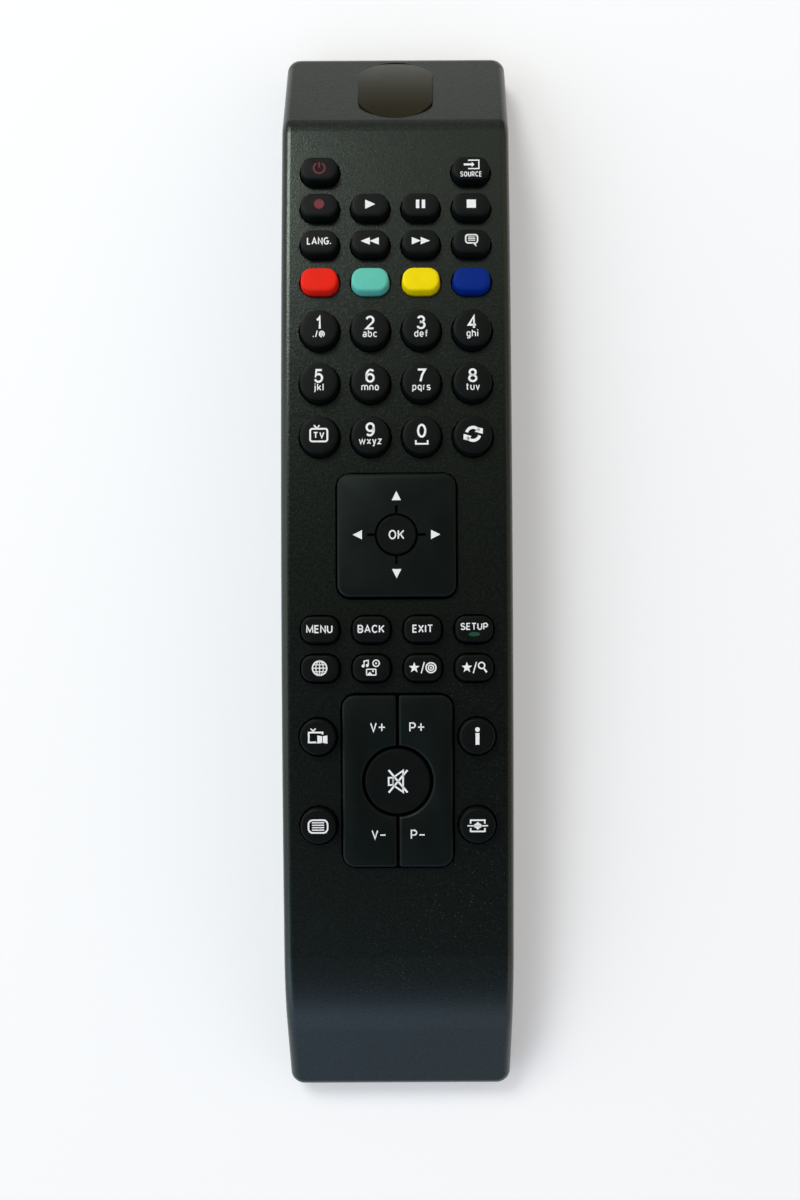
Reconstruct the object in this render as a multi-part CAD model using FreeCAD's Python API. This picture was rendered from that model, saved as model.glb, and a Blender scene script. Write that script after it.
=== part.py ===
import FreeCAD, Part
import math
import os

# Television remote control for two AAA cells, lying on its flat back.
# Millimetres. +Z is the key side, +Y is the nose with the infrared window, X runs across.
# The origin is the middle of the back.

# Housing
length = 226.0
width = 48.0
wall = 1.8
corner_radius = 3.0
rim_radius = 2.0
back_chamfer = 0.6
arch_radius = 1015.0
nose_length = 21.0
nose_end_height = 6.1
nose_blend = 8.0
tail_length = 21.5
tail_end_height = 5.0
tail_blend = 40.0
parting_height = 3.0
lip_thickness = 1.0
lip_height = 2.2
fit_gap = 0.15

# Battery bay and its sliding cover
cell_diameter = 10.3
cell_length = 44.5
cell_nub_diameter = 3.8
cell_nub_length = 1.0
cell_room = 0.25
contact_thickness = 0.4
contact_height = 8.2
contact_width = 8.0
spring_length = 4.0
spring_wire = 0.5
spring_base_radius = 3.2
spring_tip_radius = 1.8
spring_turns = 3
spring_flats = 8
bay_wall = 1.0
bay_roof = 0.8
bay_from_tail = 22.0
cover_thickness = 1.6
cover_from_side = 5.2
cover_tongue = 1.2
cover_tongue_thickness = 0.8
cover_overhang = 3.5
cover_gap = 0.2
deck_thickness = 1.6
grip_ridges = 6
grip_pitch = 1.9
grip_groove = 0.8
grip_depth = 0.5
grip_width = 16.0

# Circuit board and the room for the rubber keypad above it
board_thickness = 1.0
board_side_room = 2.7
board_from_nose = 24.5
board_past_last_key = 6.5
board_hole_gap = 0.5
key_room = 1.8

# The many small round forms are drawn with short flats, at least two to a quarter turn
longest_flat = 1.8

# Keys
key_gap = 0.3
key_height = 2.0
key_taper = 0.5
key_sink = 0.8
key_travel = 0.8
key_rest_gap = 0.1
stem_inset = 1.2
small_key_spacing = 2.4
small_key_length = 5.5
small_key_corner = 2.5
menu_key_spacing = 2.5
menu_key_length = 5.7
menu_key_corner = 2.4
number_key_spacing = 2.2
side_key_diameter = 7.75
colour_key_height = 1.75
colour_key_bevel = 0.5

# Key rows, from the nose down
key_from_side = 4.2
first_row_from_nose = 32.0
row_pitch = 7.9
number_row_drop = 10.4
number_row_pitch = 11.1
pad_from_number_keys = 3.65
menu_keys_from_pad = 3.85
rocker_from_menu_keys = 2.65
side_key_from_side = 7.7
side_key_spread = 9.1

# Four-way plate and the rocker pair
plate_gap = 0.5
plate_height = 1.3
plate_bevel = 0.35
plate_below_wall = 0.6
pad_width = 24.2
pad_length = 25.2
pad_corner = 2.4
pad_hole = 8.8
ok_key_diameter = 8.2
pad_slot_width = 0.5
pad_slot_length = 1.4
pad_slot_depth = 0.8
pad_contact_radius = 8.8
pad_tilt = 2.5
pivot_ring_width = 1.9
pivot_ring_height = 1.8
pivot_gap = 0.4
rocker_from_side = 12.75
rocker_block_length = 35.2
rocker_corner = 2.5
rocker_slit = 0.6
rocker_tilt = 2.0
mute_hole = 14.6
mute_key_diameter = 13.4
rocker_contact_offset = 6.0
rocker_contact_spread = 13.0
contact_stem = 3.0

# Keypad mat
mat_thickness = 0.7
mat_margin = 0.8
mat_gap = 0.3
collar_thickness = 0.8

# Infrared window and diode
window_width = 15.9
window_length = 19.8
window_side = 10.4
window_corner = 3.5
window_from_nose = 10.3
window_gap = 0.1
window_crown_radius = 60.0
window_crown_height = 0.7
window_tab = 1.2
window_tab_length = 10.0
window_tab_thickness = 1.0
diode_diameter = 5.0
diode_length = 8.6
diode_dome_angle = 30.0
diode_flange = 0.4
diode_flange_length = 1.0
diode_tip_from_nose = 11.0
diode_leg = 0.5
diode_leg_pitch = 2.54
diode_leg_bend = 4.0

# Screws that close the housing
screw_from_side = 7.7
screw_head_diameter = 4.4
screw_head_height = 1.4
screw_shaft_diameter = 2.2
screw_shaft_length = 8.6
screw_tip_diameter = 0.55
screw_hole_gap = 0.15
boss_wall = 1.3
lower_boss_height = 4.2
cross_width = 0.7
cross_length = 2.8
cross_depth = 0.7

# Parts on the underside of the board
chip_width = 7.5
chip_length = 10.3
chip_height = 2.2
chip_lead_pitch = 1.27
chip_lead_count = 8
chip_lead_width = 0.42
chip_lead_reach = 1.3
chip_lead_thickness = 0.25
resonator_width = 7.0
resonator_length = 2.6
resonator_height = 5.5
resonator_corner = 0.85
capacitor_diameter = 6.3
capacitor_height = 7.7
capacitor_groove = 0.4
capacitor_from_bay = 25.55
resistor_width = 1.6
resistor_length = 3.2
resistor_height = 0.6
resistor_pitch = 3.4
resistors_from_bay = 16.05
resistor_count = 5
rib_thickness = 1.2
rib_from_bay = 44.85

# Sizes across the housing that follow from its width
cover_width = width - 2 * cover_from_side
board_width = width - 2 * wall - 2 * board_side_room
column_pitch = (width - 2 * key_from_side + small_key_spacing) / 4
small_key_width = column_pitch - small_key_spacing
menu_key_width = column_pitch - menu_key_spacing
number_key_diameter = column_pitch - number_key_spacing
side_key_offset = width / 2 - side_key_from_side
rocker_block_width = width - 2 * rocker_from_side
screw_x = width / 2 - screw_from_side

# Places of the key rows
first_row_y = length / 2 - first_row_from_nose
number_row_y = first_row_y - 3 * row_pitch - number_row_drop
last_number_row_y = number_row_y - 2 * number_row_pitch
pad_y = last_number_row_y - (number_key_diameter + pad_length) / 2 - pad_from_number_keys
menu_row_y = pad_y - (pad_length + menu_key_length) / 2 - menu_keys_from_pad
last_menu_row_y = menu_row_y - row_pitch
rocker_y = last_menu_row_y - (menu_key_length + rocker_block_length) / 2 - rocker_from_menu_keys
furthest_key_y = max(first_row_y, rocker_block_length / 2 - rocker_y)

# Heights that follow from what is stacked inside
cell_bottom = cover_thickness + cover_gap + cell_room / 2
cell_axis_height = cell_bottom + cell_diameter / 2
bay_roof_underside = cell_bottom + cell_diameter + cell_room
board_bottom = bay_roof_underside + bay_roof
board_top = board_bottom + board_thickness
arch_drop_at_keys = arch_radius - math.sqrt(arch_radius ** 2 - furthest_key_y ** 2)
height = board_top + key_room + wall + arch_drop_at_keys
arch_centre = height - arch_radius
mat_top = board_top + mat_thickness
stem_bottom = board_top + key_travel + key_rest_gap

# Places along the housing
board_front_y = length / 2 - board_from_nose
board_back_y = rocker_y - side_key_spread - side_key_diameter / 2 - board_past_last_key
bay_length = cell_length + spring_length + 2 * contact_thickness + fit_gap
bay_back_y = bay_from_tail - length / 2
bay_front_y = bay_back_y + bay_length
bay_width = 2 * cell_diameter + 3 * cell_room
cell_offset = (cell_diameter + cell_room) / 2
cover_front_y = bay_front_y + bay_wall + cover_overhang
lower_boss_top = cover_thickness + cover_gap + deck_thickness + lower_boss_height
screw_seat_height = lower_boss_top - lower_boss_height + screw_head_height

# Sizes that only serve the drawing
big = 2 * length
past = 1.0
close = 0.01

Vector = FreeCAD.Vector


def face_height(y, inset=0.0):
    """Height of the arched face, or of a surface at a depth below it."""
    radius = arch_radius - inset
    return arch_centre + math.sqrt(radius ** 2 - y ** 2)


def end_slope(run, end_height, inset):
    """Crease and foot of a sloped end at a depth inside the skin, as (y, z) pairs for the +Y side."""
    crease_y = length / 2 - run
    crease_z = face_height(crease_y)
    drop = crease_z - end_height
    slope = math.hypot(run, drop)
    along_y = run / slope
    along_z = -drop / slope
    start_y = crease_y + along_z * inset
    start_z = crease_z - along_y * inset
    radius = arch_radius - inset
    half_b = start_y * along_y + (start_z - arch_centre) * along_z
    rest = start_y ** 2 + (start_z - arch_centre) ** 2 - radius ** 2
    step = -half_b - math.sqrt(half_b ** 2 - rest)
    other = -half_b + math.sqrt(half_b ** 2 - rest)
    if abs(other) < abs(step):
        step = other
    foot_y = length / 2 - inset
    foot = (foot_y - start_y) / along_y
    crease = (start_y + step * along_y, start_z + step * along_z)
    return crease, (foot_y, start_z + foot * along_z)


nose_crease, nose_foot = end_slope(nose_length, nose_end_height, 0.0)
nose_angle = math.degrees(math.atan2(nose_crease[1] - nose_foot[1], nose_foot[0] - nose_crease[0]))


def box(x0, x1, y0, y1, z0, z1):
    """Box between two corners."""
    return Part.makeBox(x1 - x0, y1 - y0, z1 - z0, Vector(x0, y0, z0))


def corner_centres(wide, long, radius):
    """Centres of the four round corners of a rectangle, going round from +X +Y."""
    x = wide / 2 - radius
    y = long / 2 - radius
    return [(x, y), (-x, y), (-x, -y), (x, -y)]


def arc_outline(wide, long, radius, z):
    """Closed wire of a rectangle with true arcs at its corners, about the Z axis."""
    arcs = []
    for turn, centre in enumerate(corner_centres(wide, long, radius)):
        spot = Vector(centre[0], centre[1], z)
        arcs.append(Part.makeCircle(radius, spot, Vector(0, 0, 1), 90 * turn, 90 * turn + 90))
    edges = []
    for turn, arc in enumerate(arcs):
        edges.append(arc)
        following = arcs[(turn + 1) % len(arcs)]
        start = arc.valueAt(arc.LastParameter)
        edges.append(Part.makeLine(start, following.valueAt(following.FirstParameter)))
    return Part.Wire(edges)


def flats_in_quarter(radius):
    """How many short flats a quarter of a small circle is drawn with."""
    return max(2, math.ceil(radius * math.pi / 2 / longest_flat))


def rounded_points(wide, long, radius, z, flats):
    """Corners of a rectangle, or of a circle as large, whose round corners are short flats."""
    points = []
    for turn, centre in enumerate(corner_centres(wide, long, radius)):
        for flat in range(flats + 1):
            angle = math.radians(90 * (turn + flat / flats))
            point = Vector(centre[0] + radius * math.cos(angle), centre[1] + radius * math.sin(angle), z)
            if not points or (point - points[-1]).Length > close:
                points.append(point)
    if (points[0] - points[-1]).Length < close:
        points.pop()
    return points


def flat_face(points):
    """Flat face with straight sides through its corners."""
    return Part.Face(Part.makePolygon(points + points[:1]))


def rounded_block(sections):
    """Solid through rounded rectangles, each given as (width, length, corner radius, height)."""
    flats = flats_in_quarter(max(radius for wide, long, radius, z in sections))
    outlines = [rounded_points(*section, flats) for section in sections]
    faces = [flat_face(outlines[0]), flat_face(outlines[-1])]
    for low, high in zip(outlines, outlines[1:]):
        for here in range(len(low)):
            following = (here + 1) % len(low)
            faces.append(flat_face([low[here], low[following], high[following], high[here]]))
    return Part.makeSolid(Part.makeShell(faces))


def round_block(sections):
    """Solid through circles, each given as (diameter, height)."""
    return rounded_block([(diameter, diameter, diameter / 2, z) for diameter, z in sections])


def round_column(diameter, bottom, top):
    """Upright round post about the Z axis."""
    return round_block([(diameter, bottom), (diameter, top)])


def hole_block(wide, long, radius, bottom, top):
    """Cutter with flats at its corners, whose walls also meet a curved face in single simple edges."""
    points = rounded_points(wide, long, radius, bottom, flats_in_quarter(radius))
    edges = []
    for start, end in zip(points, points[1:] + points[:1]):
        line = Part.BSplineCurve()
        line.buildFromPolesMultsKnots([start, end], [2, 2], [0.0, 1.0], False, 1)
        edges.append(line.toShape())
    return Part.Face(Part.Wire(edges)).extrude(Vector(0, 0, top - bottom))


def moved(shape, x, y, z):
    """Copy of a shape moved from the origin."""
    copy = shape.copy()
    copy.translate(Vector(x, y, z))
    return copy


def on_face(shape, x, y):
    """Copy of a shape moved from the origin to the arched face and set square to it."""
    lean = math.degrees(math.asin(y / arch_radius))
    turn = FreeCAD.Rotation(Vector(1, 0, 0), -lean)
    copy = shape.copy()
    copy.Placement = FreeCAD.Placement(Vector(x, y, face_height(y)), turn)
    return copy


def on_nose(shape):
    """Copy of a shape moved from the origin to the middle of the window and set square to the nose."""
    from_crease = (length / 2 - window_from_nose - nose_crease[0]) * math.tan(math.radians(nose_angle))
    turn = FreeCAD.Rotation(Vector(1, 0, 0), -nose_angle)
    copy = shape.copy()
    spot = Vector(0, length / 2 - window_from_nose, nose_crease[1] - from_crease)
    copy.Placement = FreeCAD.Placement(spot, turn)
    return copy


def housing_block(inset):
    """The outer form of the housing, or the same form at a depth inside its skin."""
    nose_top, nose_end = end_slope(nose_length, nose_end_height, inset)
    tail_top, tail_end = end_slope(tail_length, tail_end_height, inset)
    half = width / 2 - inset
    corners = [
        Vector(-half, -tail_end[0], inset),
        Vector(-half, -tail_end[0], tail_end[1]),
        Vector(-half, -tail_top[0], tail_top[1]),
        Vector(-half, nose_top[0], nose_top[1]),
        Vector(-half, nose_end[0], nose_end[1]),
        Vector(-half, nose_end[0], inset),
    ]
    apex = Vector(-half, 0, height - inset)
    edges = [
        Part.makeLine(corners[0], corners[1]),
        Part.makeLine(corners[1], corners[2]),
        Part.Arc(corners[2], apex, corners[3]).toShape(),
        Part.makeLine(corners[3], corners[4]),
        Part.makeLine(corners[4], corners[5]),
        Part.makeLine(corners[5], corners[0]),
    ]
    slab = Part.Face(Part.Wire(edges)).extrude(Vector(2 * half, 0, 0))
    creases = [(tail_top, -1, tail_blend), (nose_top, 1, nose_blend)]
    for crease, side, blend in creases:
        line = [e for e in slab.Edges if lies_on_crease(e, side * crease[0], crease[1])]
        slab = slab.makeFillet(blend - inset, line)
    corner = corner_radius - inset if corner_radius > inset + fit_gap else fit_gap
    outline = arc_outline(width - 2 * inset, length - 2 * inset, corner, inset)
    column = Part.Face(outline).extrude(Vector(0, 0, height))
    return slab.common(column)


def lies_on_crease(edge, y, z):
    """True for the edge across the housing at one height and one place along it."""
    middle = edge.CenterOfMass
    return abs(middle.x) < close and math.hypot(middle.y - y, middle.z - z) < close


def is_upright(edge):
    """True for an edge that stands straight up."""
    first = edge.Vertexes[0].Point
    last = edge.Vertexes[-1].Point
    return abs(first.x - last.x) < close and abs(first.y - last.y) < close


def is_rim(edge):
    """True for the edges where the front face meets the sides and the ends."""
    first = edge.Vertexes[0].Point
    last = edge.Vertexes[-1].Point
    crosses = abs(first.y - last.y) < close and abs(first.y) < length / 2 - close
    on_back = first.z < close and last.z < close
    return not is_upright(edge) and not crosses and not on_back


def is_back_edge(edge):
    """True for the edges round the flat back."""
    return all(vertex.Point.z < close for vertex in edge.Vertexes)


def make_outer():
    """The whole housing as one solid, with its rounded rim and its chamfered back."""
    block = housing_block(0.0)
    block = block.makeFillet(rim_radius, [e for e in block.Edges if is_rim(e)])
    return block.makeChamfer(back_chamfer, [e for e in block.Edges if is_back_edge(e)])


def key_list():
    """Every sliding key outside the plates, as (name, kind, x, y)."""
    outer = 1.5 * column_pitch
    inner = 0.5 * column_pitch
    columns = [-outer, -inner, inner, outer]
    rows = [
        (first_row_y, "small", ["power", None, None, "source"]),
        (first_row_y - row_pitch, "small", ["record", "play", "pause", "stop"]),
        (first_row_y - 2 * row_pitch, "small", ["language", "rewind", "forward", "subtitle"]),
        (first_row_y - 3 * row_pitch, "colour", ["red", "green", "yellow", "blue"]),
        (number_row_y, "number", ["1", "2", "3", "4"]),
        (number_row_y - number_row_pitch, "number", ["5", "6", "7", "8"]),
        (last_number_row_y, "number", ["tv", "9", "0", "swap"]),
        (menu_row_y, "menu", ["menu", "back", "exit", "quick_menu"]),
        (last_menu_row_y, "menu", ["internet", "media", "favourite_1", "favourite_2"]),
    ]
    keys = []
    for y, kind, names in rows:
        for x, name in zip(columns, names):
            if name:
                keys.append(("key_" + name, kind, x, y))
    keys.append(("key_guide", "side", -side_key_offset, rocker_y + side_key_spread))
    keys.append(("key_info", "side", side_key_offset, rocker_y + side_key_spread))
    keys.append(("key_text", "side", -side_key_offset, rocker_y - side_key_spread))
    keys.append(("key_screen", "side", side_key_offset, rocker_y - side_key_spread))
    return keys


key_outlines = {
    "small": (small_key_width, small_key_length, small_key_corner),
    "colour": (small_key_width, small_key_length, small_key_corner),
    "menu": (menu_key_width, menu_key_length, menu_key_corner),
}
key_diameters = {"number": number_key_diameter, "side": side_key_diameter}


def stem_size(kind):
    """Width and length of the stem under a key of one kind."""
    if kind in key_outlines:
        wide, long, corner = key_outlines[kind]
        return wide - 2 * stem_inset, long - 2 * stem_inset
    square = key_diameters[kind] / math.sqrt(2) - key_taper
    return square, square


def key_cap(kind):
    """The part of a key that shows, tapered towards its top."""
    if kind in key_diameters:
        diameter = key_diameters[kind]
        return round_block([(diameter, -key_sink), (diameter - 2 * key_taper, key_height)])
    wide, long, corner = key_outlines[kind]
    sections = [(wide, long, corner, -key_sink)]
    if kind == "colour":
        shoulder = key_taper / 2
        top = shoulder + colour_key_bevel
        shoulder_height = colour_key_height - colour_key_bevel
        sections.append((wide - 2 * shoulder, long - 2 * shoulder, corner - shoulder, shoulder_height))
        sections.append((wide - 2 * top, long - 2 * top, corner - top, colour_key_height))
    else:
        top = key_taper
        sections.append((wide - 2 * top, long - 2 * top, corner - top, key_height))
    return rounded_block(sections)


def upright_stem(x, y, wide, long, top, bottom=stem_bottom):
    """Square stem that ends in a contact pill just above the board."""
    return box(x - wide / 2, x + wide / 2, y - long / 2, y + long / 2, bottom, top)


def make_key(kind, x, y):
    """One rubber key: its cap, and the stem that reaches down to the board."""
    cap = on_face(key_cap(kind), x, y)
    wide, long = stem_size(kind)
    return cap.fuse(upright_stem(x, y, wide, long, face_height(y) - key_sink / 2)).removeSplitter()


def key_hole(kind):
    """Cutter for the hole that a key moves in."""
    below = -wall - key_sink
    above = key_height
    if kind in key_diameters:
        diameter = key_diameters[kind] + 2 * key_gap
        return hole_block(diameter, diameter, diameter / 2, below, above)
    wide, long, corner = key_outlines[kind]
    return hole_block(wide + 2 * key_gap, long + 2 * key_gap, corner + key_gap, below, above)


def plate_block(wide, long, corner):
    """Flat-topped plate with a bevelled edge, about the Z axis on the face."""
    below = -wall - plate_below_wall
    edge = plate_height - plate_bevel
    full = (wide, long, corner)
    top = (wide - 2 * plate_bevel, long - 2 * plate_bevel, corner - plate_bevel)
    return rounded_block([full + (below,), full + (edge,), top + (plate_height,)])


def plate_hole(wide, long, corner):
    """Cutter for the opening round a plate."""
    below = -wall - plate_below_wall
    return hole_block(wide + 2 * plate_gap, long + 2 * plate_gap, corner + plate_gap, below, plate_height)


def plate_underside(y):
    """Height of the underside of a plate at one place along the housing."""
    return face_height(y) - wall - plate_below_wall


def pad_contacts():
    """Places of the four contacts under the four-way plate."""
    reach = pad_contact_radius
    return [(reach, pad_y), (-reach, pad_y), (0, pad_y + reach), (0, pad_y - reach)]


def rocker_contacts(side):
    """Places of the two contacts under one rocker."""
    x = side * rocker_contact_offset
    return [(x, rocker_y + rocker_contact_spread), (x, rocker_y - rocker_contact_spread)]


def tilt_room(reach, tilt):
    """How far a contact at one distance from its pivot comes down."""
    return (reach + contact_stem / 2) * math.sin(math.radians(tilt))


def make_dpad_plate():
    """Four-way plate with the hole for the OK key, four short slots and four contact stems."""
    plate = plate_block(pad_width, pad_length, pad_corner)
    plate = plate.cut(round_column(pad_hole, -big, big))
    slots = []
    half = pad_slot_width / 2
    start = pad_hole / 2 - half
    end = pad_hole / 2 + pad_slot_length
    floor = plate_height - pad_slot_depth
    for turn in range(4):
        slot = box(start, end, -half, half, floor, big)
        slot.rotate(Vector(0, 0, 0), Vector(0, 0, 1), 90 * turn)
        slots.append(slot)
    plate = on_face(plate.cut(slots), 0, pad_y)
    bottom = board_top + key_rest_gap + tilt_room(pad_contact_radius, pad_tilt)
    top = plate_underside(pad_y) + plate_below_wall
    stems = [upright_stem(x, y, contact_stem, contact_stem, top, bottom) for x, y in pad_contacts()]
    return plate.fuse(stems).removeSplitter()


def make_dpad_pivot():
    """Ring under the four-way plate that the plate rocks on."""
    top = plate_underside(pad_y) - pivot_gap
    ring = round_column(pad_hole + 2 * pivot_ring_width, top - pivot_ring_height, top)
    return moved(ring.cut(round_column(pad_hole, -big, big)), 0, pad_y, 0)


def make_round_key(diameter, y):
    """Round key in the middle of a plate, level with it."""
    top = diameter - 2 * plate_bevel
    cap = round_block([(diameter, -wall), (diameter, plate_height - plate_bevel), (top, plate_height)])
    side = diameter / math.sqrt(2) - key_taper
    return on_face(cap, 0, y).fuse(upright_stem(0, y, side, side, face_height(y) - wall / 2)).removeSplitter()


def make_rocker(side):
    """Volume or programme rocker: half of the block, cut away round the mute key."""
    plate = plate_block(rocker_block_width, rocker_block_length, rocker_corner)
    plate = plate.cut(round_column(mute_hole, -big, big))
    inner = rocker_slit / 2
    keep = box(inner, big, -big, big, -big, big)
    if side < 0:
        keep = box(-big, -inner, -big, big, -big, big)
    plate = on_face(plate.common(keep), 0, rocker_y)
    bottom = board_top + key_rest_gap + tilt_room(rocker_contact_spread, rocker_tilt)
    stems = []
    for x, y in rocker_contacts(side):
        top = plate_underside(y) + plate_below_wall
        stems.append(upright_stem(x, y, contact_stem, contact_stem, top, bottom))
    return plate.fuse(stems).removeSplitter()


def all_stems():
    """Every stem that passes the mat, as (x, y, width, length, height that its collar may reach)."""
    stems = []
    for name, kind, x, y in key_list():
        wide, long = stem_size(kind)
        far = abs(y) + long / 2 + mat_gap + collar_thickness
        stems.append((x, y, wide, long, face_height(far, wall) - mat_gap))
    ok_side = ok_key_diameter / math.sqrt(2) - key_taper
    ring_bottom = plate_underside(pad_y) - pivot_gap - pivot_ring_height
    stems.append((0, pad_y, ok_side, ok_side, ring_bottom - pivot_gap))
    mute_side = mute_key_diameter / math.sqrt(2) - key_taper
    under_rocker = plate_underside(abs(rocker_y) + rocker_block_length / 2)
    room = tilt_room(rocker_contact_spread, rocker_tilt)
    stems.append((0, rocker_y, mute_side, mute_side, face_height(rocker_y) - wall - key_travel - pivot_gap))
    for x, y in pad_contacts():
        drop = tilt_room(pad_contact_radius, pad_tilt)
        stems.append((x, y, contact_stem, contact_stem, ring_bottom - drop))
    for side in (-1, 1):
        for x, y in rocker_contacts(side):
            stems.append((x, y, contact_stem, contact_stem, under_rocker - room - mat_gap))
    return stems


def screw_places():
    """Places of the two housing screws."""
    return [(-screw_x, rocker_y), (screw_x, rocker_y)]


def upper_boss_diameter():
    """Outer diameter of the bosses that the screws bite into."""
    return screw_shaft_diameter + 2 * boss_wall


def make_keypad_mat():
    """Rubber sheet on the board, with a collar round each stem and holes for the screw bosses."""
    half = board_width / 2 + mat_margin
    sheet = box(-half, half, board_back_y, board_front_y, board_top, mat_top)
    collars = []
    holes = []
    for x, y, wide, long, top in all_stems():
        grown_x = wide / 2 + mat_gap
        grown_y = long / 2 + mat_gap
        holes.append(box(x - grown_x, x + grown_x, y - grown_y, y + grown_y, board_bottom, big))
        outer_x = grown_x + collar_thickness
        outer_y = grown_y + collar_thickness
        collars.append(box(x - outer_x, x + outer_x, y - outer_y, y + outer_y, board_top, top))
    hole = upper_boss_diameter() + 2 * board_hole_gap
    for x, y in screw_places():
        holes.append(moved(round_column(hole, 0, height), x, y, 0))
    return sheet.fuse(collars).cut(holes).removeSplitter()


def make_circuit_board():
    """Flat board with round corners and a hole for each screw boss."""
    long = board_front_y - board_back_y
    middle = (board_front_y + board_back_y) / 2
    size = (board_width, long, corner_radius)
    board = moved(rounded_block([size + (board_bottom,), size + (board_top,)]), 0, middle, 0)
    hole = round_column(upper_boss_diameter() + 2 * board_hole_gap, 0, height)
    return board.cut([moved(hole, x, y, 0) for x, y in screw_places()])


def window_outline(grow, bottom, top):
    """Prism with the window's barrel-shaped outline, about the Z axis."""
    x = window_width / 2 + grow
    y = window_length / 2 + grow
    side = window_side / 2
    edges = [
        Part.makeLine(Vector(x, -side, bottom), Vector(x, side, bottom)),
        Part.Arc(Vector(x, side, bottom), Vector(0, y, bottom), Vector(-x, side, bottom)).toShape(),
        Part.makeLine(Vector(-x, side, bottom), Vector(-x, -side, bottom)),
        Part.Arc(Vector(-x, -side, bottom), Vector(0, -y, bottom), Vector(x, -side, bottom)).toShape(),
    ]
    prism = Part.Face(Part.Wire(edges)).extrude(Vector(0, 0, top - bottom))
    return prism.makeFillet(window_corner + grow, [e for e in prism.Edges if is_upright(e)])


def make_ir_window():
    """Crowned window that fills the hole in the nose, with a tab each side under the skin."""
    pane = window_outline(0.0, -wall, window_crown_height + past)
    crown_start = Vector(-width / 2, 0, window_crown_height - window_crown_radius)
    crown = Part.makeCylinder(window_crown_radius, width, crown_start, Vector(1, 0, 0))
    pane = pane.common(crown)
    half = window_width / 2 + window_tab
    tab_half = window_tab_length / 2
    tabs = box(-half, half, -tab_half, tab_half, -wall - window_tab_thickness, -wall)
    return on_nose(pane.fuse(tabs).removeSplitter())


def make_top_shell():
    """Arched upper half of the housing, pierced for the keys and the window."""
    shell = make_outer().cut(housing_block(wall))
    shell = shell.cut(box(-big, big, -big, big, -big, parting_height))
    bosses = []
    pilots = []
    for x, y in screw_places():
        top = face_height(abs(y) + upper_boss_diameter()) - wall / 2
        boss = round_column(upper_boss_diameter(), lower_boss_top + fit_gap, top)
        bosses.append(moved(boss, x, y, 0))
        pilot_top = screw_seat_height + screw_shaft_length + fit_gap
        pilot = round_column(screw_shaft_diameter + 2 * screw_hole_gap, 0, pilot_top)
        pilots.append(moved(pilot, x, y, 0))
    shell = shell.fuse(bosses)
    cutters = [on_face(key_hole(kind), x, y) for name, kind, x, y in key_list()]
    cutters.append(on_face(plate_hole(pad_width, pad_length, pad_corner), 0, pad_y))
    cutters.append(on_face(plate_hole(rocker_block_width, rocker_block_length, rocker_corner), 0, rocker_y))
    cutters.append(on_nose(window_outline(window_gap, -wall - past, wall)))
    return shell.cut(cutters + pilots)


def cover_cutter(grow):
    """Space of the sliding cover in the back: a wide slot with a groove down each side."""
    half = cover_width / 2 + grow
    tongue = half + cover_tongue
    front = cover_front_y + grow
    tongue_bottom = cover_thickness - cover_tongue_thickness - grow
    top = cover_thickness + grow
    plate = box(-half, half, -big, front, -big, top)
    return plate.fuse(box(-tongue, tongue, -big, front, tongue_bottom, top)).removeSplitter()


def make_battery_cover():
    """Cover that slides off over the tail, with a ridged thumb grip and an arrow."""
    cover = make_outer().common(cover_cutter(0.0))
    grooves = []
    first = cover_front_y - cover_overhang - grip_pitch
    for ridge in range(grip_ridges):
        y = first - ridge * grip_pitch
        grooves.append(box(-grip_width / 2, grip_width / 2, y - grip_groove, y, -past, grip_depth))
    base = first - grip_ridges * grip_pitch
    arrow = flat_face([
        Vector(-grip_width / 4, base, -past),
        Vector(grip_width / 4, base, -past),
        Vector(0, base - grip_width / 4, -past),
    ])
    grooves.append(arrow.extrude(Vector(0, 0, past + grip_depth)))
    return cover.cut(grooves)


def make_bottom_shell():
    """Lower half of the housing: back, battery bay, locating lip, screw bosses and board ribs."""
    shell = make_outer().cut(housing_block(wall))
    shell = shell.common(box(-big, big, -big, big, -big, parting_height))
    inner = housing_block(wall + fit_gap)
    half = width / 2 - wall - fit_gap - lip_thickness
    reach = length / 2 - wall - fit_gap - lip_thickness
    lip = inner.cut(box(-half, half, -reach, reach, -big, big))
    lip = lip.common(box(-big, big, -big, big, wall, parting_height + lip_height))
    half_foot = half + lip_thickness
    foot_reach = reach + lip_thickness
    foot = box(-half_foot, half_foot, -foot_reach, foot_reach, wall, wall + fit_gap)
    foot = foot.cut(box(-half, half, -reach, reach, wall, wall + fit_gap))
    deck_bottom = cover_thickness + cover_gap
    deck_top = deck_bottom + deck_thickness
    deck_front = cover_front_y + cover_gap + wall
    deck = inner.common(box(-big, big, -big, deck_front, deck_bottom, deck_top))
    bay_half = bay_width / 2
    bay = box(
        -bay_half - bay_wall,
        bay_half + bay_wall,
        bay_back_y - bay_wall,
        bay_front_y + bay_wall,
        deck_bottom,
        board_bottom,
    )
    solids = [lip, foot, deck, bay]
    holes = [cover_cutter(cover_gap)]
    holes.append(box(-bay_half, bay_half, bay_back_y, bay_front_y, -past, bay_roof_underside))
    for x, y in screw_places():
        head_room = screw_head_diameter + 2 * fit_gap
        boss = round_column(head_room + 2 * boss_wall, deck_bottom, lower_boss_top)
        solids.append(moved(boss, x, y, 0))
        holes.append(moved(round_column(head_room, -past, screw_seat_height), x, y, 0))
        shaft = round_column(screw_shaft_diameter + 2 * screw_hole_gap, -past, height)
        holes.append(moved(shaft, x, y, 0))
    half_rib = board_width / 2 - corner_radius
    for y in rib_places():
        front = y + rib_thickness / 2
        solids.append(box(-half_rib, half_rib, front - rib_thickness, front, wall - fit_gap, board_bottom))
    return shell.fuse(solids).cut(holes).removeSplitter()


def rib_places():
    """Places of the ribs that carry the front half of the board."""
    return [bay_front_y + bay_wall + rib_from_bay, board_front_y - rib_thickness]


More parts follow.
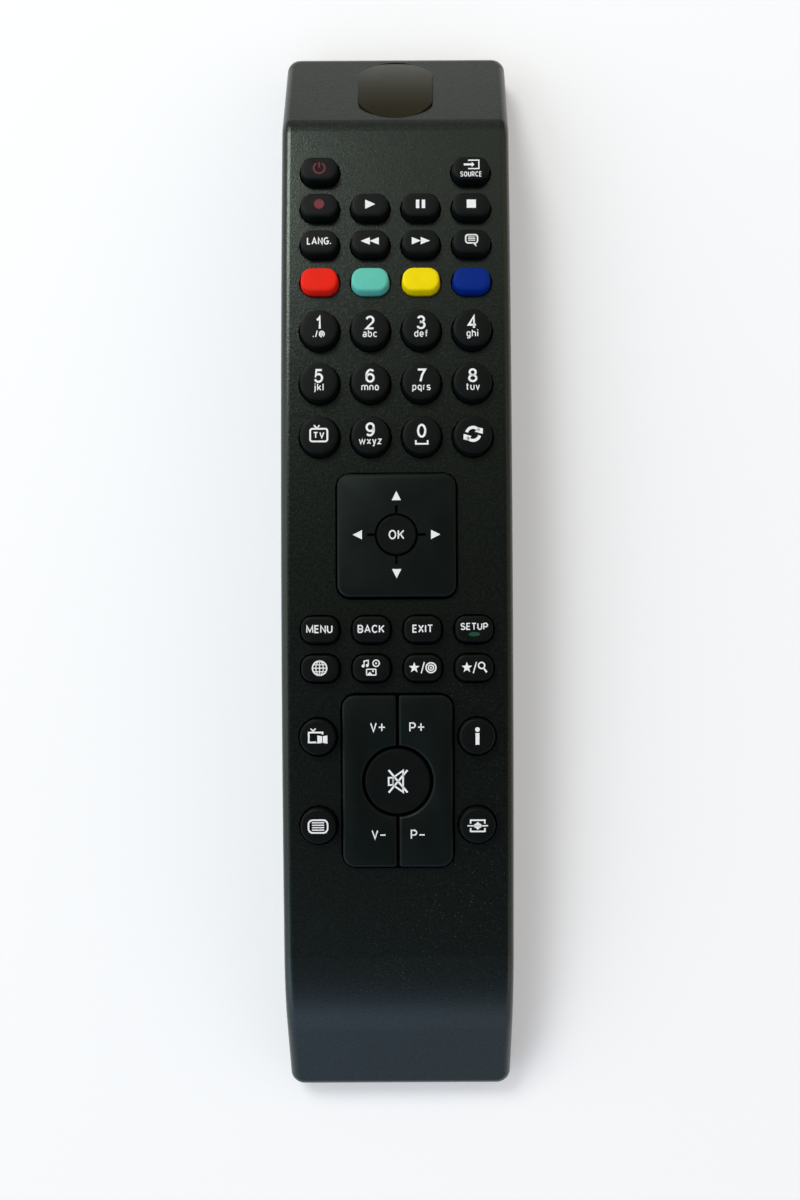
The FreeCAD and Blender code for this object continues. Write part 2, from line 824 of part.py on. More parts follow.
def make_battery_cells():
    """Two cells side by side, the second turned end for end."""
    can = round_column(cell_diameter, 0, cell_length - cell_nub_length)
    cell = can.fuse(round_column(cell_nub_diameter, 0, cell_length))
    front = bay_front_y - contact_thickness - fit_gap / 2
    back = bay_back_y + contact_thickness + fit_gap / 2
    first = cell.copy()
    first.rotate(Vector(0, 0, 0), Vector(1, 0, 0), -90)
    first.translate(Vector(-cell_offset, front - cell_length, cell_axis_height))
    second = cell.copy()
    second.rotate(Vector(0, 0, 0), Vector(1, 0, 0), 90)
    second.translate(Vector(cell_offset, back + cell_length, cell_axis_height))
    return Part.makeCompound([first, second])


def make_battery_contacts():
    """Two plates at the front of the bay and one bridge at its back."""
    low = cell_axis_height - contact_height / 2
    high = cell_axis_height + contact_height / 2
    front = bay_front_y - contact_thickness
    plates = []
    for side in (-1, 1):
        x = side * cell_offset
        plates.append(box(x - contact_width / 2, x + contact_width / 2, front, bay_front_y, low, high))
    reach = cell_offset + contact_width / 2
    plates.append(box(-reach, reach, bay_back_y, bay_back_y + contact_thickness, low, high))
    return Part.makeCompound(plates)


def spring_point(turn, near, far):
    """Point and direction of the conical spring's centre line after some turns."""
    share = turn / spring_turns
    narrowing = (spring_tip_radius - spring_base_radius) / spring_turns
    radius = spring_base_radius + narrowing * turn
    angle = 2 * math.pi * turn
    spot = Vector(radius * math.cos(angle), radius * math.sin(angle), near + (far - near) * share)
    rate = Vector(
        narrowing * math.cos(angle) - 2 * math.pi * radius * math.sin(angle),
        narrowing * math.sin(angle) + 2 * math.pi * radius * math.cos(angle),
        (far - near) / spring_turns,
    )
    return spot, rate.normalize()


def wire_section(spot, way):
    """Square section of the spring's wire, level and upright on its centre line."""
    half = spring_wire / 2
    across = way.cross(Vector(0, 0, 1)).normalize() * half
    up = across.cross(way).normalize() * half
    corners = [spot + across + up, spot - across + up, spot - across - up, spot + across - up]
    return Part.makePolygon(corners + corners[:1])


def make_spring():
    """Conical contact spring about the Z axis, wide end at the bottom, its turns drawn with flats."""
    near = spring_wire / 2
    far = spring_length - spring_wire / 2
    sections = []
    for step in range(spring_turns * spring_flats + 1):
        spot, way = spring_point(step / spring_flats, near, far)
        sections.append(wire_section(spot, way))
    return Part.makeLoft(sections, True, True)


def make_battery_springs():
    """One spring at the flat end of each cell."""
    spring = make_spring()
    back = spring.copy()
    back.rotate(Vector(0, 0, 0), Vector(1, 0, 0), -90)
    back.translate(Vector(-cell_offset, bay_back_y + contact_thickness, cell_axis_height))
    front = spring.copy()
    front.rotate(Vector(0, 0, 0), Vector(1, 0, 0), 90)
    front.translate(Vector(cell_offset, bay_front_y - contact_thickness, cell_axis_height))
    return Part.makeCompound([back, front])


def make_ir_diode():
    """Round diode that looks at the window, with two bent legs up to the board."""
    flange = diode_diameter + 2 * diode_flange
    tip = diode_diameter / 2
    dome_bottom = diode_length - tip
    dome_angle = math.radians(diode_dome_angle)
    body = round_block([
        (diode_diameter, 0),
        (diode_diameter, dome_bottom),
        (diode_diameter * math.cos(dome_angle), dome_bottom + tip * math.sin(dome_angle)),
        (tip, diode_length),
    ])
    body = body.fuse(round_column(flange, 0, diode_flange_length))
    body.rotate(Vector(0, 0, 0), Vector(1, 0, 0), -90)
    tip_y = length / 2 - diode_tip_from_nose
    slope = math.tan(math.radians(nose_angle))
    skin = nose_foot[1] + (length / 2 - tip_y + tip) * slope
    depth = (wall + window_tab_thickness) / math.cos(math.radians(nose_angle))
    axis_height = skin - depth - fit_gap - flange / 2
    base_y = tip_y - diode_length
    body.translate(Vector(0, base_y, axis_height))
    half = diode_leg / 2
    bend_y = base_y - diode_leg_bend
    legs = []
    for side in (-1, 1):
        x = side * diode_leg_pitch / 2
        legs.append(box(x - half, x + half, bend_y, base_y + half, axis_height - half, axis_height + half))
        legs.append(box(x - half, x + half, bend_y, bend_y + diode_leg, axis_height - half, board_bottom))
    return body.fuse(legs).removeSplitter()


def make_controller_chip():
    """Flat chip on the underside of the board, with bent leads down both long sides."""
    middle_y = number_row_y - number_row_pitch
    half = chip_width / 2
    top = board_bottom - chip_lead_thickness
    body = box(-half, half, middle_y - chip_length / 2, middle_y + chip_length / 2, top - chip_height, top)
    leads = []
    knee = board_bottom - chip_height / 2
    tip = half + chip_lead_reach
    shin = half + chip_lead_reach / 2
    for number in range(chip_lead_count):
        y = middle_y + (number - (chip_lead_count - 1) / 2) * chip_lead_pitch
        low = y - chip_lead_width / 2
        high = y + chip_lead_width / 2
        for left, right in ((-shin, -half), (half, shin)):
            leads.append(box(left, right, low, high, knee, knee + chip_lead_thickness))
        for left, right in ((-tip, -shin), (shin, tip)):
            leads.append(box(left, right, low, high, knee, board_bottom))
    return body.fuse(leads).removeSplitter()


def make_resonator():
    """Small ceramic resonator that hangs from the board beside the chip."""
    y = last_number_row_y
    x = -column_pitch
    size = (resonator_width, resonator_length, resonator_corner)
    block = rounded_block([size + (board_bottom - resonator_height,), size + (board_bottom,)])
    return moved(block, x, y, 0)


def make_capacitor():
    """Round capacitor that hangs from the board, with a groove round its foot."""
    waist = capacitor_diameter - 2 * capacitor_groove
    groove_top = board_bottom - capacitor_groove
    groove_middle = groove_top - capacitor_groove
    groove_bottom = groove_middle - capacitor_groove
    can = round_block([
        (capacitor_diameter, board_bottom - capacitor_height),
        (capacitor_diameter, groove_bottom),
        (waist, groove_middle),
        (capacitor_diameter, groove_top),
        (capacitor_diameter, board_bottom),
    ])
    return moved(can, column_pitch, bay_front_y + bay_wall + capacitor_from_bay, 0)


def make_resistors():
    """Row of flat resistors on the underside of the board."""
    half = resistor_width / 2
    back = bay_front_y + bay_wall + resistors_from_bay
    front = back + resistor_length
    blocks = []
    for number in range(resistor_count):
        x = (number - (resistor_count - 1) / 2) * resistor_pitch
        blocks.append(box(x - half, x + half, back, front, board_bottom - resistor_height, board_bottom))
    return Part.makeCompound(blocks)


def make_housing_screws():
    """Two cross-head screws, driven from the back under the battery cover."""
    seat = screw_seat_height
    under = seat - screw_head_height
    tip = seat + screw_shaft_length
    screw = round_column(screw_head_diameter, under, seat)
    screw = screw.fuse(round_block([
        (screw_shaft_diameter, under),
        (screw_shaft_diameter, tip - screw_shaft_diameter),
        (screw_tip_diameter, tip),
    ]))
    across = cross_width / 2
    reach = cross_length / 2
    screw = screw.cut([
        box(-across, across, -reach, reach, under - past, under + cross_depth),
        box(-reach, reach, -across, across, under - past, under + cross_depth),
    ])
    return Part.makeCompound([moved(screw, x, y, 0) for x, y in screw_places()])


def save(name, shape):
    """Write one piece as a STEP file named after it."""
    shape.exportStep(os.path.join("parts", name + ".step"))


os.makedirs("parts", exist_ok=True)
save("top_shell", make_top_shell())
save("bottom_shell", make_bottom_shell())
save("battery_cover", make_battery_cover())
save("ir_window", make_ir_window())
save("keypad_mat", make_keypad_mat())
save("circuit_board", make_circuit_board())
save("ir_diode", make_ir_diode())
save("controller_chip", make_controller_chip())
save("resonator", make_resonator())
save("capacitor", make_capacitor())
save("resistors", make_resistors())
save("battery_contacts", make_battery_contacts())
save("battery_springs", make_battery_springs())
save("battery_cells", make_battery_cells())
save("housing_screws", make_housing_screws())
save("dpad_plate", make_dpad_plate())
save("dpad_pivot", make_dpad_pivot())
save("key_ok", make_round_key(ok_key_diameter, pad_y))
save("key_mute", make_round_key(mute_key_diameter, rocker_y))
save("volume_rocker", make_rocker(-1))
save("programme_rocker", make_rocker(1))
for key_name, key_kind, key_x, key_y in key_list():
    save(key_name, make_key(key_kind, key_x, key_y))
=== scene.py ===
"""Looks of a television remote control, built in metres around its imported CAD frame."""

import math

import bmesh
import bpy
from mathutils import Matrix, Vector


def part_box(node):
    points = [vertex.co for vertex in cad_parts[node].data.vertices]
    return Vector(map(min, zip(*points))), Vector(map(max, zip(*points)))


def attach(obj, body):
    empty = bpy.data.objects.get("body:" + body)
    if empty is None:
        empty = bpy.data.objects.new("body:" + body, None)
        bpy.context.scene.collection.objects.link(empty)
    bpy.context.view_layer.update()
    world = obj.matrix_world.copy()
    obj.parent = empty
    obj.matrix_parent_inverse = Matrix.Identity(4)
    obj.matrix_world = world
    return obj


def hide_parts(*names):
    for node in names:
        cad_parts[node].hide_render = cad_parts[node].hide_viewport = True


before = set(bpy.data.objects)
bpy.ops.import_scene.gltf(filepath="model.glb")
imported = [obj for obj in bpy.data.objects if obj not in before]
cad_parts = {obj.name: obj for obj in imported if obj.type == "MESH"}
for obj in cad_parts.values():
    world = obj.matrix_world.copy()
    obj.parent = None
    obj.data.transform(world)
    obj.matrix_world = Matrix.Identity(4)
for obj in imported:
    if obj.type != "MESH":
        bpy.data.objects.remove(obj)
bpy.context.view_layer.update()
mm = 0.001

# Sizes that repeat those of the CAD frame, in metres
arch_radius = 1015 * mm
stem_foot = 15.175 * mm
key_sink = 0.8 * mm
key_height = 2.0 * mm
colour_key_height = 1.75 * mm
stem_inset = 1.2 * mm
plate_height = 1.3 * mm
plate_depth = 2.4 * mm
plate_bevel = 0.35 * mm
pad_width = 24.2 * mm
pad_length = 25.2 * mm
pad_corner = 2.4 * mm
pad_hole = 8.8 * mm
pad_reach = 8.8 * mm
rocker_width = 22.5 * mm
rocker_length = 35.2 * mm
rocker_corner = 2.5 * mm
rocker_slit = 0.6 * mm
rocker_reach_x = 6.0 * mm
rocker_reach_y = 13.0 * mm
mute_hole = 14.6 * mm
contact_stem = 3.0 * mm

# Sizes that only the scene has: the slots are drawn a little larger than in the CAD frame
slot_width = 0.6 * mm
slot_length = 1.6 * mm
slot_depth = 1.0 * mm
key_draft = 0.25 * mm
key_edge = 0.4 * mm
colour_key_edge = 0.55 * mm
key_crown = 0.04 * mm
crown_steps = [(0.15 * mm, 0.4), (0.7 * mm, 1.0)]
least_corner = 0.3 * mm
round_stem_inset = 0.5 * mm
stem_overlap = 0.05 * mm
plate_stem_overlap = 0.1 * mm
round_key_draft = 0.15 * mm
round_key_depth = 1.8 * mm
round_key_stem_share = 0.28
plate_edge_fall = 0.03 * mm
plate_edge_width = 0.1 * mm
slot_overlap = 0.5 * mm
bore_lip = 0.15 * mm
slit_corner = 0.6 * mm
cutter_reach = 8 * mm

# Width, length and corner of each family of keys, over the foot of the cap
small_key = (8.1 * mm, 5.5 * mm, 2.5 * mm)
menu_key = (8.0 * mm, 5.7 * mm, 2.4 * mm)
number_key = (8.3 * mm, 8.3 * mm, 4.15 * mm)
side_key = (7.75 * mm, 7.75 * mm, 3.875 * mm)
ok_key = 8.2 * mm
mute_key = 13.4 * mm

# Smoothness of the pieces made here
corner_steps = 12
circle_points = 4 * corner_steps
fine_circle_points = 2 * circle_points
edge_steps = 6
slit_corner_steps = 6
sign_circle_steps = 32
bow_steps = 14
sharp_angle = math.radians(40)

# Cosine of half the turn of the sharpest corner that an inset and a drawn line follow in full
least_inset_cosine = 0.2
least_stroke_cosine = 0.45

# Height of the printed signs over the surface that carries them
ink_lift = 0.02 * mm


def face_height(y):
    """Height of the arched front face over the floor."""
    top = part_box("top_shell")[1].z
    return top - arch_radius + math.sqrt(arch_radius ** 2 - y ** 2)


def lean(y):
    """Angle by which the arched face leans towards the nose at that y."""
    return math.asin(y / arch_radius)


def on_face(x, y):
    """Matrix from a flat drawing with its Z up to that place on the arched face."""
    return Matrix.Translation((x, y, face_height(y))) @ Matrix.Rotation(-lean(y), 4, "X")


def key_spot(node):
    """Place of a key on the face, read from its box in the frame."""
    low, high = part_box(node)
    middle = (low + high) / 2
    return middle.x, middle.y + key_sink * math.sin(lean(middle.y))


# Flat outlines

def arc(centre_x, centre_y, radius, start, end, steps=corner_steps):
    """Points along an arc, with its angles in degrees."""
    points = []
    for step in range(steps + 1):
        angle = math.radians(start + (end - start) * step / steps)
        points.append((centre_x + radius * math.cos(angle), centre_y + radius * math.sin(angle)))
    return points


def circle(diameter, points=circle_points):
    """Points round a circle, without a double point at its end."""
    return arc(0, 0, diameter / 2, 0, 360, points)[:-1]


def rounded(wide, long, corner):
    """Points round a rectangle with round corners, or round a circle where no side is left."""
    x = wide / 2 - corner
    y = long / 2 - corner
    if x < 0.01 * mm and y < 0.01 * mm:
        return circle(wide)
    points = arc(x, y, corner, 0, 90) + arc(-x, y, corner, 90, 180)
    return points + arc(-x, -y, corner, 180, 270) + arc(x, -y, corner, 270, 360)


def inset(points, distance):
    """A closed outline that runs against the clock, moved inwards by a distance."""
    moved = []
    count = len(points)
    for index, point in enumerate(points):
        before = Vector(points[index - 1])
        here = Vector(point)
        after = Vector(points[(index + 1) % count])
        first = (here - before).normalized()
        second = (after - here).normalized()
        normal = Vector((-first.y - second.y, first.x + second.x)).normalized()
        share = max(normal.dot(Vector((-first.y, first.x))), least_inset_cosine)
        moved.append(tuple(here + normal * distance / share))
    return moved


# Solid pieces

def new_object(name, mesh_source, matrix=None):
    """Object from a bmesh, with smooth faces and its sharp edges kept."""
    mesh = bpy.data.meshes.new(name)
    mesh_source.normal_update()
    mesh_source.to_mesh(mesh)
    mesh_source.free()
    if matrix is not None:
        mesh.transform(matrix)
    mesh.shade_smooth()
    mesh.set_sharp_from_angle(angle=sharp_angle)
    made = bpy.data.objects.new(name, mesh)
    bpy.context.scene.collection.objects.link(made)
    return made


def ring_of(bm, points, z):
    """Vertices round an outline at one height."""
    return [bm.verts.new((x, y, z)) for x, y in points]


def join_rings(bm, lower, upper):
    """Band of faces between two rings of the same count."""
    count = len(lower)
    for index in range(count):
        after = (index + 1) % count
        bm.faces.new((lower[index], lower[after], upper[after], upper[index]))


def stack(bm, levels):
    """Closed solid from outlines at rising heights."""
    rings = [ring_of(bm, points, z) for points, z in levels]
    for lower, upper in zip(rings, rings[1:]):
        join_rings(bm, lower, upper)
    bm.faces.new(list(reversed(rings[0])))
    bm.faces.new(rings[-1])
    return rings


def round_edge(side_inset, top_z, radius):
    """Insets and heights round the quarter circle at the top edge of a cap."""
    steps = []
    for step in range(edge_steps + 1):
        angle = math.radians(90 * step / edge_steps)
        steps.append((side_inset + radius * (1 - math.cos(angle)), top_z - radius * (1 - math.sin(angle))))
    return steps


def cap_profile(height, taper, radius):
    """Insets and heights of a key cap: drafted side, round edge and a barely domed top."""
    rim = height - key_crown
    profile = [(0, -key_sink)] + round_edge(taper, rim, radius)
    end = taper + radius
    return profile + [(end + away, rim + key_crown * share) for away, share in crown_steps]


def stem_block(bm, place, x, y, side_x, side_y):
    """Stem square to the face, from under a cap down to just over the board, as its own closed block."""
    slope = abs(place.col[1].z) / place.col[2].z
    foot = place.inverted() @ Vector((x, y, stem_foot + side_y * slope))
    top = -key_sink + stem_overlap
    outline = [(side_x, -side_y), (side_x, side_y), (-side_x, side_y), (-side_x, -side_y)]
    moved = [(foot.x + dx, foot.y + dy) for dx, dy in outline]
    stack(bm, [(moved, foot.z), (moved, top)])


def key_cap(node, outline, profile, material):
    """Smooth key that stands for a CAD key, with its stem, and rides on the same body."""
    x, y = key_spot(node)
    place = on_face(x, y)
    wide, long, corner = outline
    bm = bmesh.new()
    levels = []
    for step, z in profile:
        points = rounded(wide - 2 * step, long - 2 * step, max(corner - step, least_corner))
        levels.append((points, z))
    stack(bm, levels)
    if wide == long:
        side_x = (wide / math.sqrt(2) - round_stem_inset) / 2
        side_y = side_x
    else:
        side_x = wide / 2 - stem_inset
        side_y = long / 2 - stem_inset
    stem_block(bm, place, x, y, side_x, side_y)
    cap = new_object(node + "_cap", bm, place)
    cap.data.materials.append(material)
    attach(cap, node)
    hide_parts(node)
    return cap


def cut(target, cutter):
    """Takes the cutter out of the target, and leaves a plain mesh."""
    modifier = target.modifiers.new("cut", "BOOLEAN")
    modifier.operation = "DIFFERENCE"
    modifier.solver = "EXACT"
    modifier.object = cutter
    shown = target.evaluated_get(bpy.context.evaluated_depsgraph_get())
    mesh = bpy.data.meshes.new_from_object(shown)
    target.modifiers.clear()
    target.data = mesh
    mesh.shade_smooth()
    mesh.set_sharp_from_angle(angle=sharp_angle)
    bpy.data.objects.remove(cutter)


# Materials

# Parts of the noise's range over which colour, gloss and patches of dust change
colour_clouds = (0.35, 0.65)
gloss_clouds = (0.3, 0.7)
dust_clouds = (0.5, 0.68)
dust_patch = 25 * mm
thickest_dust = 0.8
speck_core = 0.4
floor_lift = 0.27


def material_with(name, colour, roughness, specular=0.5, metallic=0.0):
    """Material with one shader, whose constant values sit on the shader itself."""
    material = bpy.data.materials.new(name)
    material.use_nodes = True
    shader = material.node_tree.nodes["Principled BSDF"]
    shader.inputs["Base Color"].default_value = (*colour, 1)
    shader.inputs["Roughness"].default_value = roughness
    shader.inputs["Specular IOR Level"].default_value = specular
    shader.inputs["Metallic"].default_value = metallic
    return material


def shader_of(material):
    """The material's one shader."""
    return material.node_tree.nodes["Principled BSDF"]


def node_of(material, kind, **values):
    """New node with its plain properties set."""
    made = material.node_tree.nodes.new(kind)
    for name, value in values.items():
        setattr(made, name, value)
    return made


def link(material, output, socket):
    """Link between two sockets of one material."""
    material.node_tree.links.new(output, socket)


def noise(material, size, detail=3.0, rough=0.55):
    """Noise in the object's own space, whose grains are about that size."""
    place = node_of(material, "ShaderNodeTexCoord")
    made = node_of(material, "ShaderNodeTexNoise")
    made.inputs["Scale"].default_value = 1 / size
    made.inputs["Detail"].default_value = detail
    made.inputs["Roughness"].default_value = rough
    link(material, place.outputs["Object"], made.inputs["Vector"])
    return made.outputs["Fac"]


def spread(material, factor, low, high, out_low, out_high):
    """Value that goes from one number to another as the factor rises."""
    made = node_of(material, "ShaderNodeMapRange")
    made.inputs["From Min"].default_value = low
    made.inputs["From Max"].default_value = high
    made.inputs["To Min"].default_value = out_low
    made.inputs["To Max"].default_value = out_high
    link(material, factor, made.inputs["Value"])
    return made.outputs["Result"]


def blend_colours(material, factor, first, second):
    """Mix of two colours or colour sockets."""
    made = node_of(material, "ShaderNodeMix", data_type="RGBA")
    link(material, factor, made.inputs["Factor"])
    for name, value in (("A", first), ("B", second)):
        socket = [s for s in made.inputs if s.name == name and s.type == "RGBA"][0]
        if isinstance(value, tuple):
            socket.default_value = (*value, 1)
        else:
            link(material, value, socket)
    return [s for s in made.outputs if s.type == "RGBA"][0]


def vary_colour(material, size, first, second):
    """Cloudy change between two close colours."""
    shares = spread(material, noise(material, size), *colour_clouds, 0, 1)
    mixed = blend_colours(material, shares, first, second)
    link(material, mixed, shader_of(material).inputs["Base Color"])
    return mixed


def vary_roughness(material, size, low, high):
    """Cloudy change of gloss between two values of roughness."""
    value = spread(material, noise(material, size, 4.0), *gloss_clouds, low, high)
    link(material, value, shader_of(material).inputs["Roughness"])


def grain(material, size, depth, strength=1.0):
    """Fine moulded grain as bump, added over any bump that is there."""
    made = node_of(material, "ShaderNodeBump")
    made.inputs["Distance"].default_value = depth
    made.inputs["Strength"].default_value = strength
    link(material, noise(material, size, 2.0), made.inputs["Height"])
    target = shader_of(material).inputs["Normal"]
    if target.is_linked:
        link(material, target.links[0].from_socket, made.inputs["Normal"])
    link(material, made.outputs["Normal"], target)


def dust(material, colour_socket, spacing, reach, colour):
    """Sparse specks of dust, thicker in some patches than in others."""
    place = node_of(material, "ShaderNodeTexCoord")
    cells = node_of(material, "ShaderNodeTexVoronoi", feature="F1")
    cells.inputs["Scale"].default_value = 1 / spacing
    link(material, place.outputs["Object"], cells.inputs["Vector"])
    near = spread(material, cells.outputs["Distance"], reach, reach * speck_core, 0, 1)
    patches = spread(material, noise(material, dust_patch, 2.0), *dust_clouds, 0, thickest_dust)
    both = node_of(material, "ShaderNodeMath", operation="MULTIPLY")
    link(material, near, both.inputs[0])
    link(material, patches, both.inputs[1])
    mixed = blend_colours(material, both.outputs[0], colour_socket, colour)
    link(material, mixed, shader_of(material).inputs["Base Color"])


def housing_plastic():
    """Satin black plastic with a fine moulded grain and specks of dust, its gloss slightly green."""
    made = material_with("housing_plastic", (0.003, 0.0042, 0.0035), 0.3, 0.48)
    mixed = vary_colour(made, 0.4 * mm, (0.0012, 0.002, 0.0015), (0.0052, 0.007, 0.0058))
    shader_of(made).inputs["Specular Tint"].default_value = (0.82, 1.0, 0.88, 1)
    vary_roughness(made, 0.5 * mm, 0.18, 0.31)
    grain(made, 0.35 * mm, 0.03 * mm)
    grain(made, 6 * mm, 0.05 * mm, 0.35)
    dust(made, mixed, 0.8 * mm, 0.13, (0.1, 0.115, 0.1))
    return made


def lower_plastic():
    """Black plastic of the bottom shell and the battery cover, a little duller."""
    made = material_with("lower_plastic", (0.0078, 0.0085, 0.0082), 0.5, 0.45)
    mixed = vary_colour(made, 14 * mm, (0.0066, 0.0074, 0.0071), (0.0092, 0.01, 0.0096))
    vary_roughness(made, 6 * mm, 0.44, 0.56)
    grain(made, 0.45 * mm, 0.03 * mm)
    dust(made, mixed, 2.2 * mm, 0.05, (0.09, 0.09, 0.085))
    return made


def plate_plastic():
    """Smoother black plastic of the direction pad and the rockers."""
    made = material_with("plate_plastic", (0.0038, 0.0058, 0.0052), 0.38, 0.15)
    mixed = vary_colour(made, 11 * mm, (0.0033, 0.0051, 0.0046), (0.0043, 0.0065, 0.0058))
    shader_of(made).inputs["Specular Tint"].default_value = (0.8, 1.0, 0.92, 1)
    vary_roughness(made, 5 * mm, 0.36, 0.46)
    grain(made, 0.25 * mm, 0.008 * mm)
    dust(made, mixed, 1.8 * mm, 0.055, (0.1, 0.1, 0.095))
    return made


def rubber(name, colour, specular=0.28, roughness=0.55):
    """Matt keypad rubber, slightly cloudy, with a soft fine grain."""
    darker = tuple(0.96 * part for part in colour)
    lighter = tuple(min(1.02 * part, 1) for part in colour)
    made = material_with(name, colour, roughness, specular)
    vary_colour(made, 2.5 * mm, darker, lighter)
    vary_roughness(made, 1.8 * mm, roughness - 0.06, roughness + 0.06)
    grain(made, 0.12 * mm, 0.006 * mm)
    return made


def window_plastic():
    """Dark amber plastic that lets infrared light through, glossy under a hard coat."""
    made = material_with("window_plastic", (0.016, 0.0145, 0.0042), 0.22, 0.2)
    vary_colour(made, 7 * mm, (0.0145, 0.013, 0.0038), (0.0175, 0.016, 0.0048))
    vary_roughness(made, 3 * mm, 0.18, 0.26)
    grain(made, 4 * mm, 0.02 * mm, 0.3)
    return made


def ink(name, colour):
    """Printed sign, slightly worn and uneven."""
    worn = tuple(0.92 * part for part in colour)
    made = material_with(name, colour, 0.5, 0.25)
    vary_colour(made, 0.5 * mm, worn, colour)
    vary_roughness(made, 0.8 * mm, 0.42, 0.6)
    grain(made, 0.1 * mm, 0.003 * mm)
    return made


def board_lacquer():
    """Green solder lacquer, slightly mottled."""
    made = material_with("board_lacquer", (0.02, 0.11, 0.05), 0.35, 0.5)
    vary_colour(made, 2 * mm, (0.015, 0.09, 0.04), (0.03, 0.14, 0.065))
    vary_roughness(made, 3 * mm, 0.28, 0.42)
    grain(made, 1.1 * mm, 0.02 * mm)
    return made


def metal(name, colour, roughness, grain_size):
    """Bare metal with fine drawing marks."""
    made = material_with(name, colour, roughness, 0.5, 1.0)
    vary_roughness(made, grain_size * 6, roughness - 0.08, roughness + 0.1)
    grain(made, grain_size, 0.01 * mm)
    return made


def cell_sleeve():
    """Plain dark sleeve of a cell, slightly mottled."""
    made = material_with("cell_sleeve", (0.05, 0.055, 0.06), 0.3, 0.5)
    vary_colour(made, 12 * mm, (0.045, 0.05, 0.055), (0.07, 0.075, 0.08))
    vary_roughness(made, 4 * mm, 0.24, 0.38)
    grain(made, 0.6 * mm, 0.01 * mm)
    return made


def moulded(name, colour, roughness):
    """Small moulded part inside the housing."""
    made = material_with(name, colour, roughness, 0.5)
    vary_colour(made, 1.5 * mm, tuple(0.85 * c for c in colour), tuple(min(1.15 * c, 1) for c in colour))
    vary_roughness(made, 1 * mm, roughness - 0.06, roughness + 0.08)
    grain(made, 0.2 * mm, 0.01 * mm)
    return made


def floor_paint():
    """Plain pale floor, lifted a little towards white where it is seen; clear from underneath."""
    made = material_with("floor_paint", (0.795, 0.812, 0.804), 0.7, 0.2)
    vary_colour(made, 300 * mm, (0.79, 0.807, 0.799), (0.8, 0.817, 0.809))
    path = node_of(made, "ShaderNodeLightPath")
    seen = node_of(made, "ShaderNodeMath", operation="MAXIMUM")
    link(made, path.outputs["Is Camera Ray"], seen.inputs[0])
    link(made, path.outputs["Is Glossy Ray"], seen.inputs[1])
    lift = spread(made, seen.outputs[0], 0, 1, 0, floor_lift)
    shader_of(made).inputs["Emission Color"].default_value = (0.98, 1.0, 0.97, 1)
    link(made, lift, shader_of(made).inputs["Emission Strength"])
    side = node_of(made, "ShaderNodeNewGeometry")
    clear = node_of(made, "ShaderNodeBsdfTransparent")
    either = node_of(made, "ShaderNodeMixShader")
    link(made, side.outputs["Backfacing"], either.inputs["Fac"])
    link(made, shader_of(made).outputs[0], either.inputs[1])
    link(made, clear.outputs[0], either.inputs[2])
    link(made, either.outputs[0], made.node_tree.nodes["Material Output"].inputs["Surface"])
    return made


key_black = rubber("key_black", (0.0034, 0.005, 0.0042), 0.11, 0.45)
key_colours = {
    "key_red": rubber("key_red", (0.88, 0.02, 0.008), 0.08),
    "key_green": rubber("key_green", (0.135, 0.6, 0.46), 0.08),
    "key_yellow": rubber("key_yellow", (0.97, 0.77, 0.0005), 0.08),
    "key_blue": rubber("key_blue", (0.0003, 0.022, 0.215), 0.08),
}
mat_black = rubber("mat_black", (0.012, 0.013, 0.0125), 0.3, 0.65)
plate_black = plate_plastic()
white_ink = ink("white_ink", (0.96, 0.985, 0.96))
red_ink = ink("red_ink", (0.17, 0.02, 0.028))
green_ink = ink("green_ink", (0.01, 0.075, 0.035))

node_materials = {
    "top_shell": housing_plastic(),
    "bottom_shell": lower_plastic(),
    "ir_window": window_plastic(),
    "keypad_mat": mat_black,
    "circuit_board": board_lacquer(),
    "ir_diode": moulded("diode_resin", (0.03, 0.035, 0.06), 0.12),
    "controller_chip": moulded("chip_resin", (0.015, 0.015, 0.016), 0.5),
    "resonator": metal("resonator_can", (0.7, 0.7, 0.68), 0.3, 0.3 * mm),
    "capacitor": moulded("capacitor_sleeve", (0.02, 0.03, 0.09), 0.35),
    "resistors": moulded("resistor_body", (0.03, 0.03, 0.032), 0.4),
    "battery_contacts": metal("contact_plate", (0.72, 0.7, 0.64), 0.32, 0.4 * mm),
    "battery_springs": metal("spring_wire", (0.75, 0.74, 0.7), 0.28, 0.3 * mm),
    "battery_cells": cell_sleeve(),
    "housing_screws": metal("screw_steel", (0.5, 0.49, 0.47), 0.34, 0.25 * mm),
    "dpad_pivot": moulded("pivot_resin", (0.02, 0.021, 0.022), 0.5),
}
node_materials["battery_cover"] = node_materials["bottom_shell"]


def dress_nodes():
    """Gives every CAD node that stays in view its finished material."""
    for node, material in node_materials.items():
        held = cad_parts[node]
        if not held.material_slots:
            held.data.materials.append(material)
        for place in held.material_slots:
            place.material = material


# Keys

small_keys = ["key_power", "key_source", "key_record", "key_play", "key_pause", "key_stop"]
small_keys += ["key_language", "key_rewind", "key_forward", "key_subtitle"]
menu_keys = ["key_menu", "key_back", "key_exit", "key_quick_menu"]
menu_keys += ["key_internet", "key_media", "key_favourite_1", "key_favourite_2"]
number_keys = ["key_%d" % digit for digit in range(10)] + ["key_tv", "key_swap"]
side_keys = ["key_guide", "key_info", "key_text", "key_screen"]


def make_keys():
    """All the single keys: oblong, menu, number, side and coloured ones."""
    black = cap_profile(key_height, key_draft, key_edge)
    coloured = cap_profile(colour_key_height, key_draft, colour_key_edge)
    for node in small_keys:
        key_cap(node, small_key, black, key_black)
    for node in menu_keys:
        key_cap(node, menu_key, black, key_black)
    for node in number_keys:
        key_cap(node, number_key, black, key_black)
    for node in side_keys:
        key_cap(node, side_key, black, key_black)
    for node, material in key_colours.items():
        key_cap(node, small_key, coloured, material)


